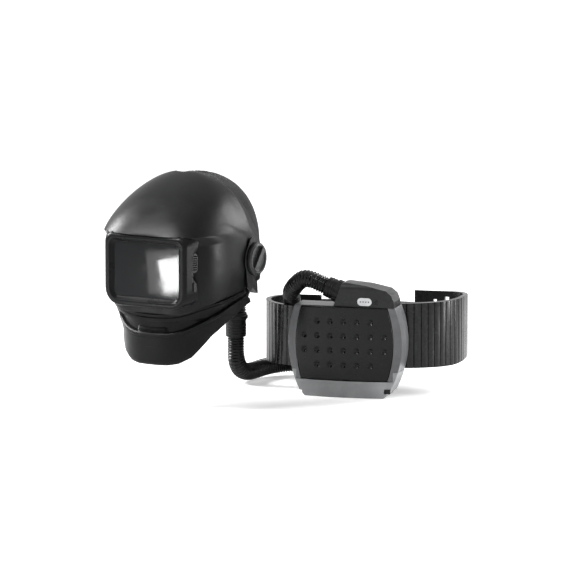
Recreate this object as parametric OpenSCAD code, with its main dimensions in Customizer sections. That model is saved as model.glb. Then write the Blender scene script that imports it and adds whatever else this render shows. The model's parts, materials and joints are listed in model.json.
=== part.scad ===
// Powered air respirator: welding helmet, breathing hose, belt-worn blower and hip belt.
// Frame: the origin is midway between the two shield pivots, +X is the wearer's left, the
// face looks along -Y and +Z is up. The blower has a frame of its own: right, back and up
// from the middle of its base.

/* [Welding shield] */
// Half width of the shield at the pivots
shield_half_w = 125; // [120:0.5:132]
// Height of the crown above the pivots
crown_h = 154; // [148:0.5:162]
// Reach of the forehead in front of the crown line
brow_reach = 165; // [160:0.5:175]
// Reach of the shield face below the brow
face_reach = 150; // [146:0.5:154]
// Wall of the shield
shield_wall = 2.5; // [1.5:0.1:3.5]

/* [Visor] */
// Front plane of the bezel, in front of the pivots
bezel_front = 172; // [168:0.5:176]
// Back plane of the bezel, in front of the pivots
bezel_back = 136; // [134:0.5:140]
// Half width of the bezel at its front rim
bezel_front_w = 83; // [80:0.5:88]
// Half width of the bezel at its back
bezel_back_w = 99; // [97:0.5:101]
// Width of the filter pocket
pocket_w = 144; // [136:0.5:148]
// Height of the filter pocket
pocket_h = 108; // [100:0.5:110]
// Height of the middle of the window
window_z = -9; // [-12:0.5:-6]
// Thickness of the outer cover plate
cover_t = 2; // [1:0.1:3]
// Depth of the filter cassette
cassette_t = 11; // [8:0.5:12]
// Width of the viewing area
view_w = 118; // [100:0.5:124]
// Height of the viewing area
view_h = 88; // [60:0.5:92]

/* [Pivots] */
// Diameter of a pivot knob
knob_d = 59; // [50:0.5:64]
// Thickness of a pivot knob
knob_t = 11; // [8:0.5:14]
// Diameter of the pivot axles
axle_d = 8; // [6:0.5:10]
// Thickness of the pivot plates
plate_t = 2; // [1:0.1:2.5]

/* [Jaw guard and head cover] */
// Half width of the jaw guard at its top
jaw_w = 118.5; // [116:0.5:120]
// Reach of the jaw guard
jaw_reach = 149; // [146:0.5:152]
// Lowest point of the jaw guard below the pivots
jaw_drop = 181; // [174:0.5:188]
// Depth of the louvred band
band_depth = 5; // [3:0.5:6]
// Wall of the jaw guard
jaw_wall = 2.5; // [2:0.1:3]
// Half width of the head cover
cover_half_w = 117; // [112:0.5:118]
// Reach of the head cover behind the pivots
cover_back = 114; // [108:0.5:116]
// Thickness of the head cover cloth
cloth_t = 2; // [1.5:0.1:2.5]

/* [Head harness] */
// Half width of the headband
band_half_w = 78; // [72:0.5:82]
// Half length of the headband
band_half_l = 96; // [92:0.5:100]
// Height of the headband
band_h = 22; // [16:0.5:26]
// Thickness of the headband
band_t = 2; // [1.5:0.1:3]
// Diameter of the ratchet knob
ratchet_d = 40; // [30:0.5:44]

/* [Hose] */
// Outer diameter of the breathing hose
hose_d = 32; // [28:0.5:34]
// Bore of the breathing hose
hose_bore = 24; // [20:0.5:26]
// Pitch of the hose ribs
rib_pitch = 4.8; // [4.5:0.1:6]
// Depth of the hose ribs
rib_depth = 2; // [1:0.1:2.5]
// Diameter of the hose cuffs
cuff_d = 37; // [36:0.5:40]
// Length of the helmet cuff
cuff_l = 30; // [20:1:36]

/* [Blower] */
// Half width of the blower at its widest
blower_half_w = 106; // [100:0.5:110]
// Height of the blower housing without the outlet hump
blower_h = 165; // [155:1:175]
// Depth of the blower housing
blower_depth = 64; // [60:0.5:70]
// Wall of the blower housings
blower_wall = 2.5; // [2:0.1:3]
// Height of the battery at the front
battery_h = 30; // [26:0.5:34]
// Diameter of the dimples in the filter cover
dimple_d = 9; // [7:0.5:11]
// Spacing of the dimple columns
dimple_dx = 24.7; // [22:0.1:25.5]
// Spacing of the dimple rows
dimple_dz = 26.5; // [22:0.1:28]
// Diameter of the impeller
impeller_d = 92; // [80:1:96]
// Diameter of the motor
motor_d = 38; // [30:1:44]
// Diameter of the motor shaft
shaft_d = 5; // [3:0.5:6]
// Diameter of one battery cell
cell_d = 18; // [14:0.5:18.5]

/* [Belt] */
// Half width of the belt ring
belt_half_w = 186; // [180:1:192]
// Half length of the belt ring
belt_half_l = 105; // [102:1:108]
// Thickness of the belt wings
wing_t = 9; // [7:0.5:11]
// Depth of the grooves between the belt segments
groove_depth = 2; // [1:0.1:3]
// Width of the webbing
webbing_w = 40; // [36:0.5:44]

/* [Fits] */
// Gap between pieces that seat in one another
seat_gap = 0.2; // [0.1:0.05:0.3]
// Gap between pieces that move past one another
run_gap = 0.4; // [0.3:0.05:0.6]

/* [Hidden] */
$fn = 48;

// ---- Closed walls between two grids of points ----
function unit(v) = v / norm(v);
function mix(a, b, t) = a + (b - a) * t;
function signed_pow(v, e) = sign(v) * pow(abs(v), e);

// Outward normal of grid g at row i, column j; columns run to the right seen from outside
function grid_normal(g, i, j) =
    let (rows = len(g), cols = len(g[0]))
    let (right = g[i][min(j + 1, cols - 1)] - g[i][max(j - 1, 0)])
    let (up = g[min(i + 1, rows - 1)][j] - g[max(i - 1, 0)][j])
    unit(cross(right, up));

// The grid moved inward by t
function inner_grid(g, t) =
    [for (i = [0:len(g) - 1]) [for (j = [0:len(g[0]) - 1]) g[i][j] - t * grid_normal(g, i, j)]];

// Two triangles of the quad a, b, c, d
function quad(a, b, c, d) = [[a, b, c], [a, c, d]];

// A wall of thickness t inside the grid, closed along its four edges
module grid_wall(g, t) {
    rows = len(g);
    cols = len(g[0]);
    n = rows * cols;
    points = [for (layer = [g, inner_grid(g, t)]) for (row = layer) for (p = row) p];
    skins = [for (i = [0:rows - 2]) for (j = [0:cols - 2])
        let (a = i * cols + j, b = a + cols)
        each concat(quad(a, b, b + 1, a + 1), quad(a + n, a + 1 + n, b + 1 + n, b + n))];
    top = (rows - 1) * cols;
    level_edges = [for (j = [0:cols - 2])
        each concat(quad(j, j + 1, j + 1 + n, j + n),
            quad(top + j + 1, top + j, top + j + n, top + j + 1 + n))];
    side_edges = [for (i = [0:rows - 2])
        let (a = i * cols, b = a + cols, c = a + cols - 1, d = b + cols - 1)
        each concat(quad(b, a, a + n, b + n), quad(c, d, d + n, c + n))];
    polyhedron(points, concat(skins, level_edges, side_edges));
}

// ---- Shield surface ----
crown_edge_y = -26;
section_square = 4.3;
section_round = 2.2;
function shield_w(z) = z > 0
    ? shield_half_w * pow(1 - pow(z / crown_h, 2.6), 0.5)
    : shield_half_w - 7 * pow(z / 60, 2);
function forehead(z) = -crown_edge_y + brow_reach * pow(1 - pow(z / crown_h, 2), 1 / 1.2);
brow_z = 55;
function brow_blend(z) = min(max((z - brow_z + 15) / 15, 0), 1);
function shield_f(z) = z > brow_z ? forehead(z)
    : mix(face_reach, forehead(brow_z), brow_blend(z));
function shield_rear(z) = lookup(z, [[-60, 25], [0, 32], [38, 22], [67, 6], [105, -5],
    [134, -15], [crown_h, crown_edge_y]]);
function section_power(z) = z < 40 ? section_square
    : mix(section_square, section_round, (z - 40) / (crown_h - 40));
function shield_low(a) = lookup(abs(a), [[0, -90], [15, -88], [27, -82], [37, -75], [50, -70],
    [64, -65], [78, -60], [85, -56], [88, -50], [90, -42]]);
// Point of a horizontal section at angle a from the front
function section_point(w, front, rear, power, a, z) =
    [w * signed_pow(sin(a), 2 / power), rear - (front + rear) * signed_pow(cos(a), 2 / power), z];
function shield_point(a, v) =
    let (z = mix(shield_low(a), crown_h - 1.5, v))
    section_point(shield_w(z), shield_f(z), shield_rear(z), section_power(z), a, z);
shield_cols = 32;
shield_rows = 22;
shield_grid = [for (i = [0:shield_rows]) [for (j = [0:shield_cols])
    shield_point(-90 + 180 * j / shield_cols, sin(90 * i / shield_rows))]];

// ---- Visor ----
bezel_low = -76;
bezel_high = 53;
bezel_back_low = -70;
bezel_back_high = 74;
pocket_front = bezel_front - 7;
window_w = pocket_w + 4;
window_h = pocket_h + 4;
cassette_front = pocket_front - cover_t - run_gap;
retainer_t = 3;
// Upright slab with rounded corners in an XZ plane, from y = -front to y = -front + t
module xz_slab(w, low, high, r, low_r, front, t) {
    translate([0, -front + t, 0]) rotate([90, 0, 0]) linear_extrude(t) hull()
        for (x = [-1, 1]) {
            translate([x * (w / 2 - r), high - r]) circle(r, $fn = 32);
            translate([x * (w / 2 - low_r), low + low_r]) circle(low_r, $fn = 32);
        }
}
module bezel_body(extra) {
    hull() {
        xz_slab(2 * (bezel_front_w + extra), bezel_low - extra, bezel_high + extra, 16,
            36, bezel_front + extra, 1);
        xz_slab(2 * (bezel_back_w + extra), bezel_back_low - extra, bezel_back_high + extra, 24,
            34, bezel_back, 1);
    }
}
module pocket_slab(gap, front, t) {
    xz_slab(pocket_w - 2 * gap, window_z - pocket_h / 2 + gap, window_z + pocket_h / 2 - gap, 6,
        6, front, t);
}
// Place on the sloping side of the bezel: x = 1 is the wearer's left, z the height
bezel_slope = atan((bezel_back_w - bezel_front_w) / (bezel_front - bezel_back));
module on_bezel_side(side, z, share) {
    translate([side * mix(bezel_front_w, bezel_back_w, share),
            mix(-bezel_front, -bezel_back, share), z])
        rotate([0, 0, side > 0 ? -bezel_slope : 180 + bezel_slope]) rotate([0, 90, 0]) children();
}
vent_w = 15;
vent_l = 36;
vent_depth = 4;
vent_z = 9;
vent_share = 0.58;
module oval(w, l, t) {
    translate([0, 0, -t]) linear_extrude(t) {
        square([l - w, w], center = true);
        for (x = [-1, 1]) translate([x * (l - w) / 2, 0]) circle(w / 2);
    }
}
button_z = -34;
button_w = 7;
button_l = 18;

module shield_shell() color("#1b1c1e") difference() {
    grid_wall(shield_grid, shield_wall);
    bezel_body(seat_gap);
    rotate([0, 90, 0]) cylinder(d = axle_d + 2 * run_gap, h = 300, center = true);
}
module visor_bezel() color("#141517") difference() {
    bezel_body(0);
    // window that narrows to the cover plate
    hull() {
        xz_slab(window_w, window_z - window_h / 2, window_z + window_h / 2, 12,
            16, bezel_front + 1, 1);
        xz_slab(pocket_w - 10, window_z - pocket_h / 2 + 5, window_z + pocket_h / 2 - 5, 8,
            8, pocket_front + 1, 2);
    }
    pocket_slab(0, pocket_front, pocket_front - bezel_back + 2);
    // clears the head cover as the shield swings over it
    rotate([0, 90, 0]) cylinder(r = face_reach + 0.5, h = 160, center = true, $fn = 96);
    for (side = [-1, 1]) on_bezel_side(side, vent_z, vent_share) translate([0, 0, 1])
        oval(vent_w, vent_l, vent_depth + 1);
    on_bezel_side(1, button_z, 0.55) translate([0, 0, 1]) oval(button_w, button_l, 6);
}
module cover_plate() color("#39424a") pocket_slab(seat_gap, pocket_front, cover_t);
module filter_cassette() color("#232529") difference() {
    pocket_slab(seat_gap, cassette_front, cassette_t);
    xz_slab(view_w, window_z - view_h / 2, window_z + view_h / 2, 4, 4,
        cassette_front + 1, cassette_t + 2);
}
module filter_glass() color("#274034") {
    xz_slab(view_w - 2 * seat_gap, window_z - view_h / 2 + seat_gap,
        window_z + view_h / 2 - seat_gap, 4, 4, cassette_front - 2, cassette_t - 4);
}
module retainer_frame() color("#8d9094") difference() {
    pocket_slab(seat_gap, cassette_front - cassette_t - seat_gap, retainer_t);
    xz_slab(view_w + 6, window_z - view_h / 2 - 3, window_z + view_h / 2 + 3, 6,
        6, cassette_front, cassette_t + retainer_t + 2);
}
module side_vents() color("#303236") for (side = [-1, 1])
    on_bezel_side(side, vent_z, vent_share) translate([0, 0, -vent_depth + 2 + seat_gap])
        difference() {
            oval(vent_w - 2 * seat_gap, vent_l - 2 * seat_gap, 2);
            for (x = [-12:4:12]) translate([x, 0, 0]) cube([1.6, vent_w - 4, 6], center = true);
        }
module mode_button() color("#2a2c30") on_bezel_side(1, button_z, 0.55)
    translate([0, 0, 2]) oval(button_w - 2 * run_gap, button_l - 2 * run_gap, 5);

// ---- Pivots ----
plate_x = shield_half_w + run_gap;
knob_x = plate_x + plate_t + run_gap;
module pivot_plates() color("#202124") for (side = [-1, 1]) 
    translate([side > 0 ? plate_x : -plate_x - plate_t, 0, 0])
        rotate([90, 0, 90]) linear_extrude(plate_t) difference() {
            union() {
                circle(33);
                polygon([[-30, 12], [-16, 36], [-10, 41], [-4, 39], [20, 22]]);
                polygon([[-30, -10], [-24, -50], [-15, -57], [-6, -50], [4, -30]]);
            }
            circle(axle_d / 2 + run_gap);
        }
bar_turn = 40;
module pivot_knob(side) color("#26282b") rotate([0, side > 0 ? 90 : -90, 0])
    translate([0, 0, knob_x]) difference() {
        union() {
            rotate_extrude() polygon([[0, 0], [knob_d / 2 - 2, 0], [knob_d / 2, 2],
                [knob_d / 2, knob_t - 5], [knob_d / 2 - 3, knob_t - 2], [knob_d / 2 - 6, knob_t - 2],
                [knob_d / 2 - 8, knob_t - 6], [0, knob_t - 6]]);
            rotate([0, 0, -side * bar_turn]) translate([-knob_d / 2 + 5, -5, 1])
                cube([knob_d - 10, 10, knob_t - 1]);
        }
        translate([0, 0, -1]) cylinder(d = axle_d + 2 * seat_gap, h = knob_t - 3);
    }
module pivot_knob_left() pivot_knob(1);
module pivot_knob_right() pivot_knob(-1);
arm_x = band_half_w + seat_gap;
arm_t = 3;
boss_end = 108;
boss_d = 24;
module pivot_axles() color("#b9bcc0") for (side = [-1, 1])
    rotate([0, side * 90, 0]) translate([0, 0, boss_end - 12])
        cylinder(d = axle_d, h = knob_x + knob_t - 6 - boss_end + 12 - seat_gap);
module side_arms() color("#2b2d31") for (side = [-1, 1]) rotate([0, side * 90, 0]) difference() {
    union() {
        translate([-42, -10, arm_x]) cube([52, 26, arm_t]);
        cylinder(d = boss_d, h = boss_end);
    }
    translate([0, 0, -1]) cylinder(d = boss_d + 2, h = arm_x + 1);
    translate([0, 0, boss_end - 12 - seat_gap]) cylinder(d = axle_d + 2 * seat_gap, h = 20);
}

// ---- Inner visor, seal and jaw guard ----
// Outline of a superellipse in plan, from angle a0 to a1 seen from the front
function plan_arc(w, l, power, cy, a0, a1, steps) = [for (k = [0:steps])
    let (a = a0 + (a1 - a0) * k / steps)
    [w * signed_pow(sin(a), 2 / power), cy - l * signed_pow(cos(a), 2 / power)]];
module plan_band(w, l, t, power, cy, a0, a1, steps) {
    polygon(concat(plan_arc(w, l, power, cy, a0, a1, steps),
        plan_arc(w - t, l - t, power, cy, a1, a0, steps)));
}
visor_w = 110;
visor_l = 118;
visor_t = 1.5;
visor_power = 2.6;
visor_low = -58;
visor_high = 60;
carrier_t = 3;
carrier_x = 90;
carrier_h = 14;
foot_y = -42;
foot_reach = jaw_w - jaw_wall - carrier_x - 8;
module visor_carrier() color("#25272a") {
    translate([0, 0, visor_high + seat_gap]) linear_extrude(carrier_h)
        plan_band(visor_w, visor_l, carrier_t, visor_power, 0, -52, 52, 26);
    for (side = [-1, 1]) translate([side > 0 ? carrier_x : -carrier_x - carrier_t, 0, 0])
        difference() {
            union() {
                rotate([90, 0, 90]) linear_extrude(carrier_t) polygon([[-86, visor_high + seat_gap + carrier_h],
                    [-60, visor_high + seat_gap + carrier_h], [18, 20], [18, -18], [-26, -88],
                    [-44, -88], [-42, -20], [-84, 55]]);
                translate([side > 0 ? 0 : carrier_t - foot_reach, foot_y, -88])
                    cube([foot_reach, 12, 6]);
            }
            rotate([0, 90, 0]) cylinder(d = boss_d + 2 * seat_gap, h = 20, center = true);
        }
}
module clear_visor() color("#c9d6da", 0.4) translate([0, 0, visor_low])
    linear_extrude(visor_high - visor_low)
        plan_band(visor_w, visor_l, visor_t, visor_power, 0, -49, 49, 26);
seal_front_w = carrier_x - 0.3;
module seal_cup(inset, extra) {
    hull() {
        xz_slab(2 * (seal_front_w - inset), -84 + inset, 10 - inset, 36 - inset, 36 - inset,
            74 + extra, 34 + extra);
        xz_slab(2 * (66 - inset), -72 + inset, 0 - inset, 30 - inset, 30 - inset,
            26, 1 + extra);
    }
}
module face_seal() color("#303338") difference() {
    seal_cup(0, 0);
    seal_cup(2.5, 1);
}
jaw_low = [[0, 1], [20, 0.985], [34, 0.93], [44, 0.83], [52, 0.746], [64, 0.68], [77, 0.61],
    [83, 0.55], [88, 0.497]];
function jaw_power(z) = lookup(z, [[-100, 2.5], [-72, 3.2], [-60, section_square]]);
function jaw_width(z) = lookup(z, [[-jaw_drop, jaw_w - 14], [-160, jaw_w - 12],
    [-128, jaw_w - 11], [-94, jaw_w], [-60, jaw_w - 0.5]]);
function jaw_front(z) = lookup(z, [[-jaw_drop, jaw_reach - 3], [-128, jaw_reach - 1],
    [-94, jaw_reach], [-60, jaw_reach + 1]]);
// Rows of the jaw guard: share of its height and how far the row stands out
jaw_rows = [[1, 0], [0.8, 0], [0.6, 0], [0.44, 0], [0.42, 1.5], [0.385, 1.5], [0.375, -band_depth],
    [0.235, -band_depth], [0.095, -band_depth], [0.085, 1.5], [0.05, 1.5], [0.045, 0], [0, 0]];
jaw_gap = 3;
jaw_end = 86.5;
jaw_rear = 25;
function jaw_point(a, v, out) =
    let (z = mix(shield_low(a) - jaw_gap, -jaw_drop * lookup(abs(a), jaw_low), v))
    section_point(jaw_width(z) + out, jaw_front(z) + out, jaw_rear, jaw_power(z), a, z);
jaw_cols = 34;
jaw_grid = [for (row = jaw_rows) [for (j = [0:jaw_cols])
    jaw_point(-jaw_end + 2 * jaw_end * j / jaw_cols, row[0], row[1])]];
module jaw_guard() color("#17181a") grid_wall(jaw_grid, jaw_wall);
filter_grid = [for (v = [0.37, 0.235, 0.1]) [for (j = [8:jaw_cols - 8])
    jaw_point(-jaw_end + 2 * jaw_end * j / jaw_cols, v, -band_depth - jaw_wall - 0.5)]];
module exhaust_filter() color("#55585c") grid_wall(filter_grid, 3);

// ---- Head cover ----
cover_h = crown_h - 5;
cover_low = -30;
function cover_w(z) = z > 0 ? cover_half_w * pow(1 - pow(z / cover_h, 2.6), 0.5)
    : cover_half_w - 3 * pow(z / cover_low, 2);
function cover_b(z) = z > 0 ? cover_back * pow(1 - pow(z / cover_h, 3), 0.42)
    : cover_back - 6 * pow(z / cover_low, 2);
cover_cols = 26;
cover_rows = 13;
cover_turn = 112;
cover_grid = [for (i = [0:cover_rows]) [for (j = [0:cover_cols])
    let (z = mix(cover_low, cover_h - 1.5, sin(90 * i / cover_rows)))
    let (a = cover_turn - 2 * cover_turn * j / cover_cols)
    [cover_w(z) * signed_pow(sin(a), 0.9), cover_b(z) * signed_pow(cos(a), 0.9), z]]];
module head_cover() color("#1d1e22") difference() {
    grid_wall(cover_grid, cloth_t);
    rotate([0, 90, 0]) cylinder(d = axle_d + 2 * run_gap, h = 300, center = true);
    air_window();
}
// Air passes from the duct into the head cover
module air_window() translate([-17, 90, 30]) cube([34, 30, 20]);

// ---- Head harness ----
band_z = 14;
band_power = 2.3;
band_cy = 4;
band_turn = 166;
module headband() color("#2e3136") translate([0, 0, band_z]) linear_extrude(band_h)
    plan_band(band_half_w, band_half_l, band_t, band_power, band_cy, -band_turn, band_turn, 60);
pad_t = 4;
module sweatband() color("#4b4f55") translate([0, 0, band_z - 2]) linear_extrude(band_h + 4)
    plan_band(band_half_w - band_t - seat_gap, band_half_l - band_t - seat_gap, pad_t,
        band_power, band_cy, -60, 60, 30);
module strap_arc(r, y) {
    translate([0, y + 7, band_z + band_h + seat_gap]) rotate([90, 0, 0]) linear_extrude(14)
        difference() {
            circle(r);
            circle(r - 2);
            translate([-r - 1, -2 * r]) square([2 * r + 2, 2 * r]);
        }
}
module crown_straps() color("#2e3136") {
    strap_arc(band_half_w - 0.5, -4);
    strap_arc(band_half_w - 6, 42);
}
ratchet_y = band_cy + band_half_l;
ratchet_z = band_z + band_h / 2;
housing_w = 64;
module ratchet_housing() color("#26282b") difference() {
    translate([-housing_w / 2, ratchet_y - 13, ratchet_z - 13]) cube([housing_w, 12, 26]);
    translate([0, ratchet_y, ratchet_z]) rotate([90, 0, 0])
        cylinder(d = ratchet_d + 2 * run_gap, h = 8 + run_gap);
    translate([0, 0, band_z - seat_gap]) linear_extrude(band_h + 2 * seat_gap)
        plan_band(band_half_w + seat_gap, band_half_l + seat_gap, band_t + 2 * seat_gap,
            band_power, band_cy, -band_turn - 0.5, band_turn + 0.5, 60);
}
module ratchet_knob() color("#3a3d42") difference() {
    translate([0, ratchet_y + 4, ratchet_z]) rotate([90, 0, 0]) cylinder(d = ratchet_d, h = 12);
    for (k = [0:11]) translate([0, ratchet_y + 6, ratchet_z]) rotate([0, 30 * k, 0])
        translate([ratchet_d / 2 + 1, 0, 0]) rotate([90, 0, 0]) cylinder(d = 5, h = 16);
}
module nape_pad() color("#4b4f55") translate([-34, ratchet_y - 19 - 0.3, ratchet_z - 15])
    cube([68, 6, 30]);

// ---- Air duct at the nape ----
duct_w = 52;
duct_tilt = 35;
swivel_y = 150;
swivel_top = -129;
bellows_bend = 48;
bellows_end = 5;
bellows_straight = 12;
// Point of the bellows axis where its tilt is a, s further along past the bend
function bellows_point(a, s) = [0,
    swivel_y + bellows_bend * (1 - cos(a)) + s * sin(a),
    swivel_top + 0.1 + bellows_end + bellows_bend * sin(a) + s * cos(a)];
duct_out = bellows_point(duct_tilt, bellows_straight + 0.2);
duct_flange = 3;
// Point of the duct's lower rim, t forward (-) or back (+) of its axis, in the YZ plane
function duct_rim(t, up) = [duct_out[1] + t * cos(duct_tilt) + up * sin(duct_tilt),
    duct_out[2] - t * sin(duct_tilt) + up * cos(duct_tilt)];
module duct_profile(inset) {
    polygon([[cover_b(62) + 0.4 + inset, 62 - inset], [133 - inset, 58 - inset],
        [160 - inset, 8], [181 - inset, -50], duct_rim(22 - inset, duct_flange + inset),
        duct_rim(-21 + inset, duct_flange + inset), [144 + inset, -40], [130 + inset, -4],
        [cover_back + 0.4 + inset, 20], [cover_b(44) + 0.4 + inset, 44]]);
}
module at_duct_out() translate(duct_out) rotate([-duct_tilt, 0, 0]) children();
module air_duct() color("#1c1d20") difference() {
    union() {
        translate([-duct_w / 2, 0, 0]) rotate([90, 0, 90]) linear_extrude(duct_w) duct_profile(0);
        at_duct_out() cylinder(d = cuff_d + 4, h = 8);
    }
    translate([-duct_w / 2 + 2, 0, 0]) rotate([90, 0, 90]) linear_extrude(duct_w - 4)
        duct_profile(2);
    at_duct_out() translate([0, 0, -1]) cylinder(d = cuff_d - 5, h = 12);
    air_window();
}

// ---- Ribbed tubes ----
// Smooth curve through the points, 12 steps to a span
function spline_at(p, k, t) =
    let (a = p[max(k - 1, 0)], b = p[k], c = p[k + 1], d = p[min(k + 2, len(p) - 1)])
    0.5 * (2 * b + (c - a) * t + (2 * a - 5 * b + 4 * c - d) * t * t
        + (3 * b - a - 3 * c + d) * t * t * t);
function spline(p) = concat([for (k = [0:len(p) - 2]) for (s = [0:11]) spline_at(p, k, s / 12)],
    [p[len(p) - 1]]);
function lengths(c) = [for (i = 0, s = 0; i < len(c); i = i + 1,
    s = i < len(c) ? s + norm(c[i] - c[i - 1]) : s) s];
// Points of curve c at every share k / n of its length
function even_points(c, n) =
    let (lens = lengths(c), total = lens[len(lens) - 1])
    let (tables = [for (axis = [0:2]) [for (i = [0:len(c) - 1]) [lens[i], c[i][axis]]]])
    [for (k = [0:n]) [for (axis = [0:2]) lookup(total * k / n, tables[axis])]];
function tangent(p, i) = unit(p[min(i + 1, len(p) - 1)] - p[max(i - 1, 0)]);
function turned(u, t) = unit(u - (u * t) * t);
// Side directions carried along the path without twist
function sides(p, u0) = [for (i = 0, u = turned(u0, tangent(p, 0)); i < len(p); i = i + 1,
    u = i < len(p) ? turned(u, tangent(p, i)) : u) u];
function ring(c, t, u, r, n) =
    let (w = cross(t, u))
    [for (k = [0:n - 1]) c + r * (cos(360 * k / n) * u + sin(360 * k / n) * w)];
// Rings along p, with the radius given for each ring
function rings(p, u0, radii, n) =
    let (us = sides(p, u0))
    [for (i = [0:len(p) - 1]) ring(p[i], tangent(p, i), us[i], radii[i], n)];
// A tube with an outer skin, a bore and two flat ends
module tube_wall(outer, bore) {
    n = len(outer[0]);
    a = len(outer);
    b = len(bore);
    points = concat([for (r = outer) each r], [for (r = bore) each r]);
    start = a * n;
    skin = [for (i = [0:a - 2]) for (k = [0:n - 1])
        let (p = i * n + k, q = i * n + (k + 1) % n)
        each quad(p, p + n, q + n, q)];
    inside = [for (i = [0:b - 2]) for (k = [0:n - 1])
        let (p = start + i * n + k, q = start + i * n + (k + 1) % n)
        each quad(p, q, q + n, p + n)];
    ends = [for (k = [0:n - 1])
        let (q = (k + 1) % n, last = (a - 1) * n, deep = start + (b - 1) * n)
        each concat(quad(k, q, start + q, start + k),
            quad(last + q, last + k, deep + k, deep + q))];
    polyhedron(points, concat(skin, inside, ends));
}
// Ribs of one pitch along the curve; the first and last rings are crests
module ribbed_tube(route, u0, r, depth, bore_r, pitch, n) {
    curve = spline(route);
    total = lengths(curve)[len(curve) - 1];
    ribs = round(total / pitch);
    p = even_points(curve, 2 * ribs);
    radii = [for (i = [0:2 * ribs]) i % 2 == 0 ? r : r - depth];
    q = even_points(curve, ribs);
    bores = [for (i = [0:ribs]) bore_r];
    tube_wall(rings(p, u0, radii, n), rings(q, u0, bores, n));
}

swivel_h = 13;
cuff_top = swivel_top - swivel_h - run_gap;
hose_start = [0, swivel_y, cuff_top - cuff_l];
bellows_route = concat(
    [for (s = [bellows_straight:-4:0]) bellows_point(duct_tilt, s)],
    [for (a = [duct_tilt - 8:-8:3]) bellows_point(a, 0)],
    [for (up = [bellows_end, bellows_end / 2, 0]) [0, swivel_y, swivel_top + 0.1 + up]]);
module duct_bellows() color("#232427")
    ribbed_tube(bellows_route, [1, 0, 0], cuff_d / 2 + 1, 3, cuff_d / 2 - 5, 4.6, 16);
module swivel_ring() color("#1f2023") translate([0, swivel_y, swivel_top - swivel_h])
    difference() {
        union() {
            cylinder(d = cuff_d + 3, h = swivel_h);
            translate([0, 0, 3]) cylinder(d = cuff_d + 7, h = 6);
        }
        translate([0, 0, -1]) cylinder(d = cuff_d - 6, h = swivel_h + 2);
        translate([-6, cuff_d / 2 - 1.5, -1]) cube([12, 10, swivel_h + 2]);
    }
module latch_button() color("#3c3f44")
    translate([-6 + run_gap, swivel_y + cuff_d / 2 - 1.5 + run_gap + 1.2, swivel_top - swivel_h + 1])
        cube([12 - 2 * run_gap, 4.5, swivel_h - 2]);
module hose_cuff_helmet() color("#1b1c1f")
    translate([0, swivel_y, hose_start[2]]) difference() {
        union() {
            cylinder(d = cuff_d, h = cuff_l);
            for (k = [0:3]) translate([0, 0, 4 + 5 * k]) cylinder(d = cuff_d + 1.6, h = 2);
        }
        translate([0, 0, -1]) cylinder(d = hose_bore, h = cuff_l + 2);
    }

// ---- Blower frame ----
blower_at = [230, 156, -262];
blower_turn = 15;
module at_blower() translate(blower_at) rotate([0, 0, blower_turn]) children();
function from_blower(p) = blower_at + [p[0] * cos(blower_turn) - p[1] * sin(blower_turn),
    p[0] * sin(blower_turn) + p[1] * cos(blower_turn), p[2]];
outlet_at = [-13, 0, blower_h + 22.5];
outlet_rise = 21;
outlet_axis = [-cos(outlet_rise), 0, sin(outlet_rise)];
module at_outlet() at_blower() translate(outlet_at) rotate([0, outlet_rise - 90, 0]) children();
collar_l = 9;
outlet_cuff_l = 27;
hose_end = from_blower(outlet_at + outlet_cuff_l * outlet_axis);
end_axis = from_blower(outlet_at + outlet_axis) - from_blower(outlet_at);

// ---- Hose route: leaves the cuff downward, passes under the left wing, rises and arches over ----
hose_route = concat(
    [hose_start, hose_start - [0, 0, hose_d / 2], hose_start - [0, 0, hose_d]],
    [[0, 154, -221], [0, 166, -235], [0, 187, -243], [0, 212, -245], [4, 240, -243],
        [14, 262, -241], [28, 278, -240], [46, 286, -238], [64, 281, -233], [79, 268, -223],
        [87, 248, -207], [89, 228, -185], [87, 214, -160], [86, 210, -135], [86, 206, -112],
        [92, 193, -95], [104, 173, -84], [118, 155, -75], [132, 142, -65], [148, 138, -54]],
    [hose_end + hose_d * end_axis, hose_end + hose_d / 2 * end_axis, hose_end]);
module breathing_hose() color("#202124")
    ribbed_tube(hose_route, [1, 0, 0], hose_d / 2, rib_depth, hose_bore / 2, rib_pitch, 8);
// Least gap of the tube to itself, between rings more than three diameters apart
gap_points = even_points(spline(hose_route), 90);
gap_step = norm(gap_points[1] - gap_points[0]);
gap_skip = ceil(3 * hose_d / gap_step);
hose_self_gap = min([for (i = [0:90 - gap_skip]) for (j = [i + gap_skip:90])
    norm(gap_points[i] - gap_points[j])]) - hose_d;
echo(hose_self_gap = hose_self_gap, hose_length = 90 * gap_step);
module hose_cuff_blower() color("#1b1c1f") at_outlet() difference() {
    union() {
        translate([0, 0, collar_l + run_gap]) cylinder(d = cuff_d, h = outlet_cuff_l - collar_l - run_gap);
        for (k = [0:1]) translate([0, 0, collar_l + 5 + 5 * k]) cylinder(d = cuff_d + 1.6, h = 2);
    }
    cylinder(d = hose_bore, h = 40);
}
module bayonet_collar() color("#26282b") at_outlet() difference() {
    translate([0, 0, run_gap]) cylinder(d = cuff_d + 5, h = collar_l - run_gap);
    for (k = [0:11]) rotate([0, 0, 30 * k]) translate([cuff_d / 2 + 3.5, 0, -1])
        cylinder(d = 4, h = 12);
    translate([0, 0, -1]) cylinder(d = hose_bore + 4, h = 12);
}

// ---- Blower housings ----
panel_z = battery_h + 0.6;
ear_z = 47;
front_y = -blower_depth / 2;
rear_y = blower_depth / 2;
split_y = 4;
bulge_r = 400;
function bulge_y(x) = front_y + bulge_r - sqrt(bulge_r * bulge_r - x * x);
function barrel_w(z) = blower_half_w - 0.0029 * pow(z - fan_z, 2);
function panel_w(z) = 91 - 0.0024 * pow(z - fan_z, 2);
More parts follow.
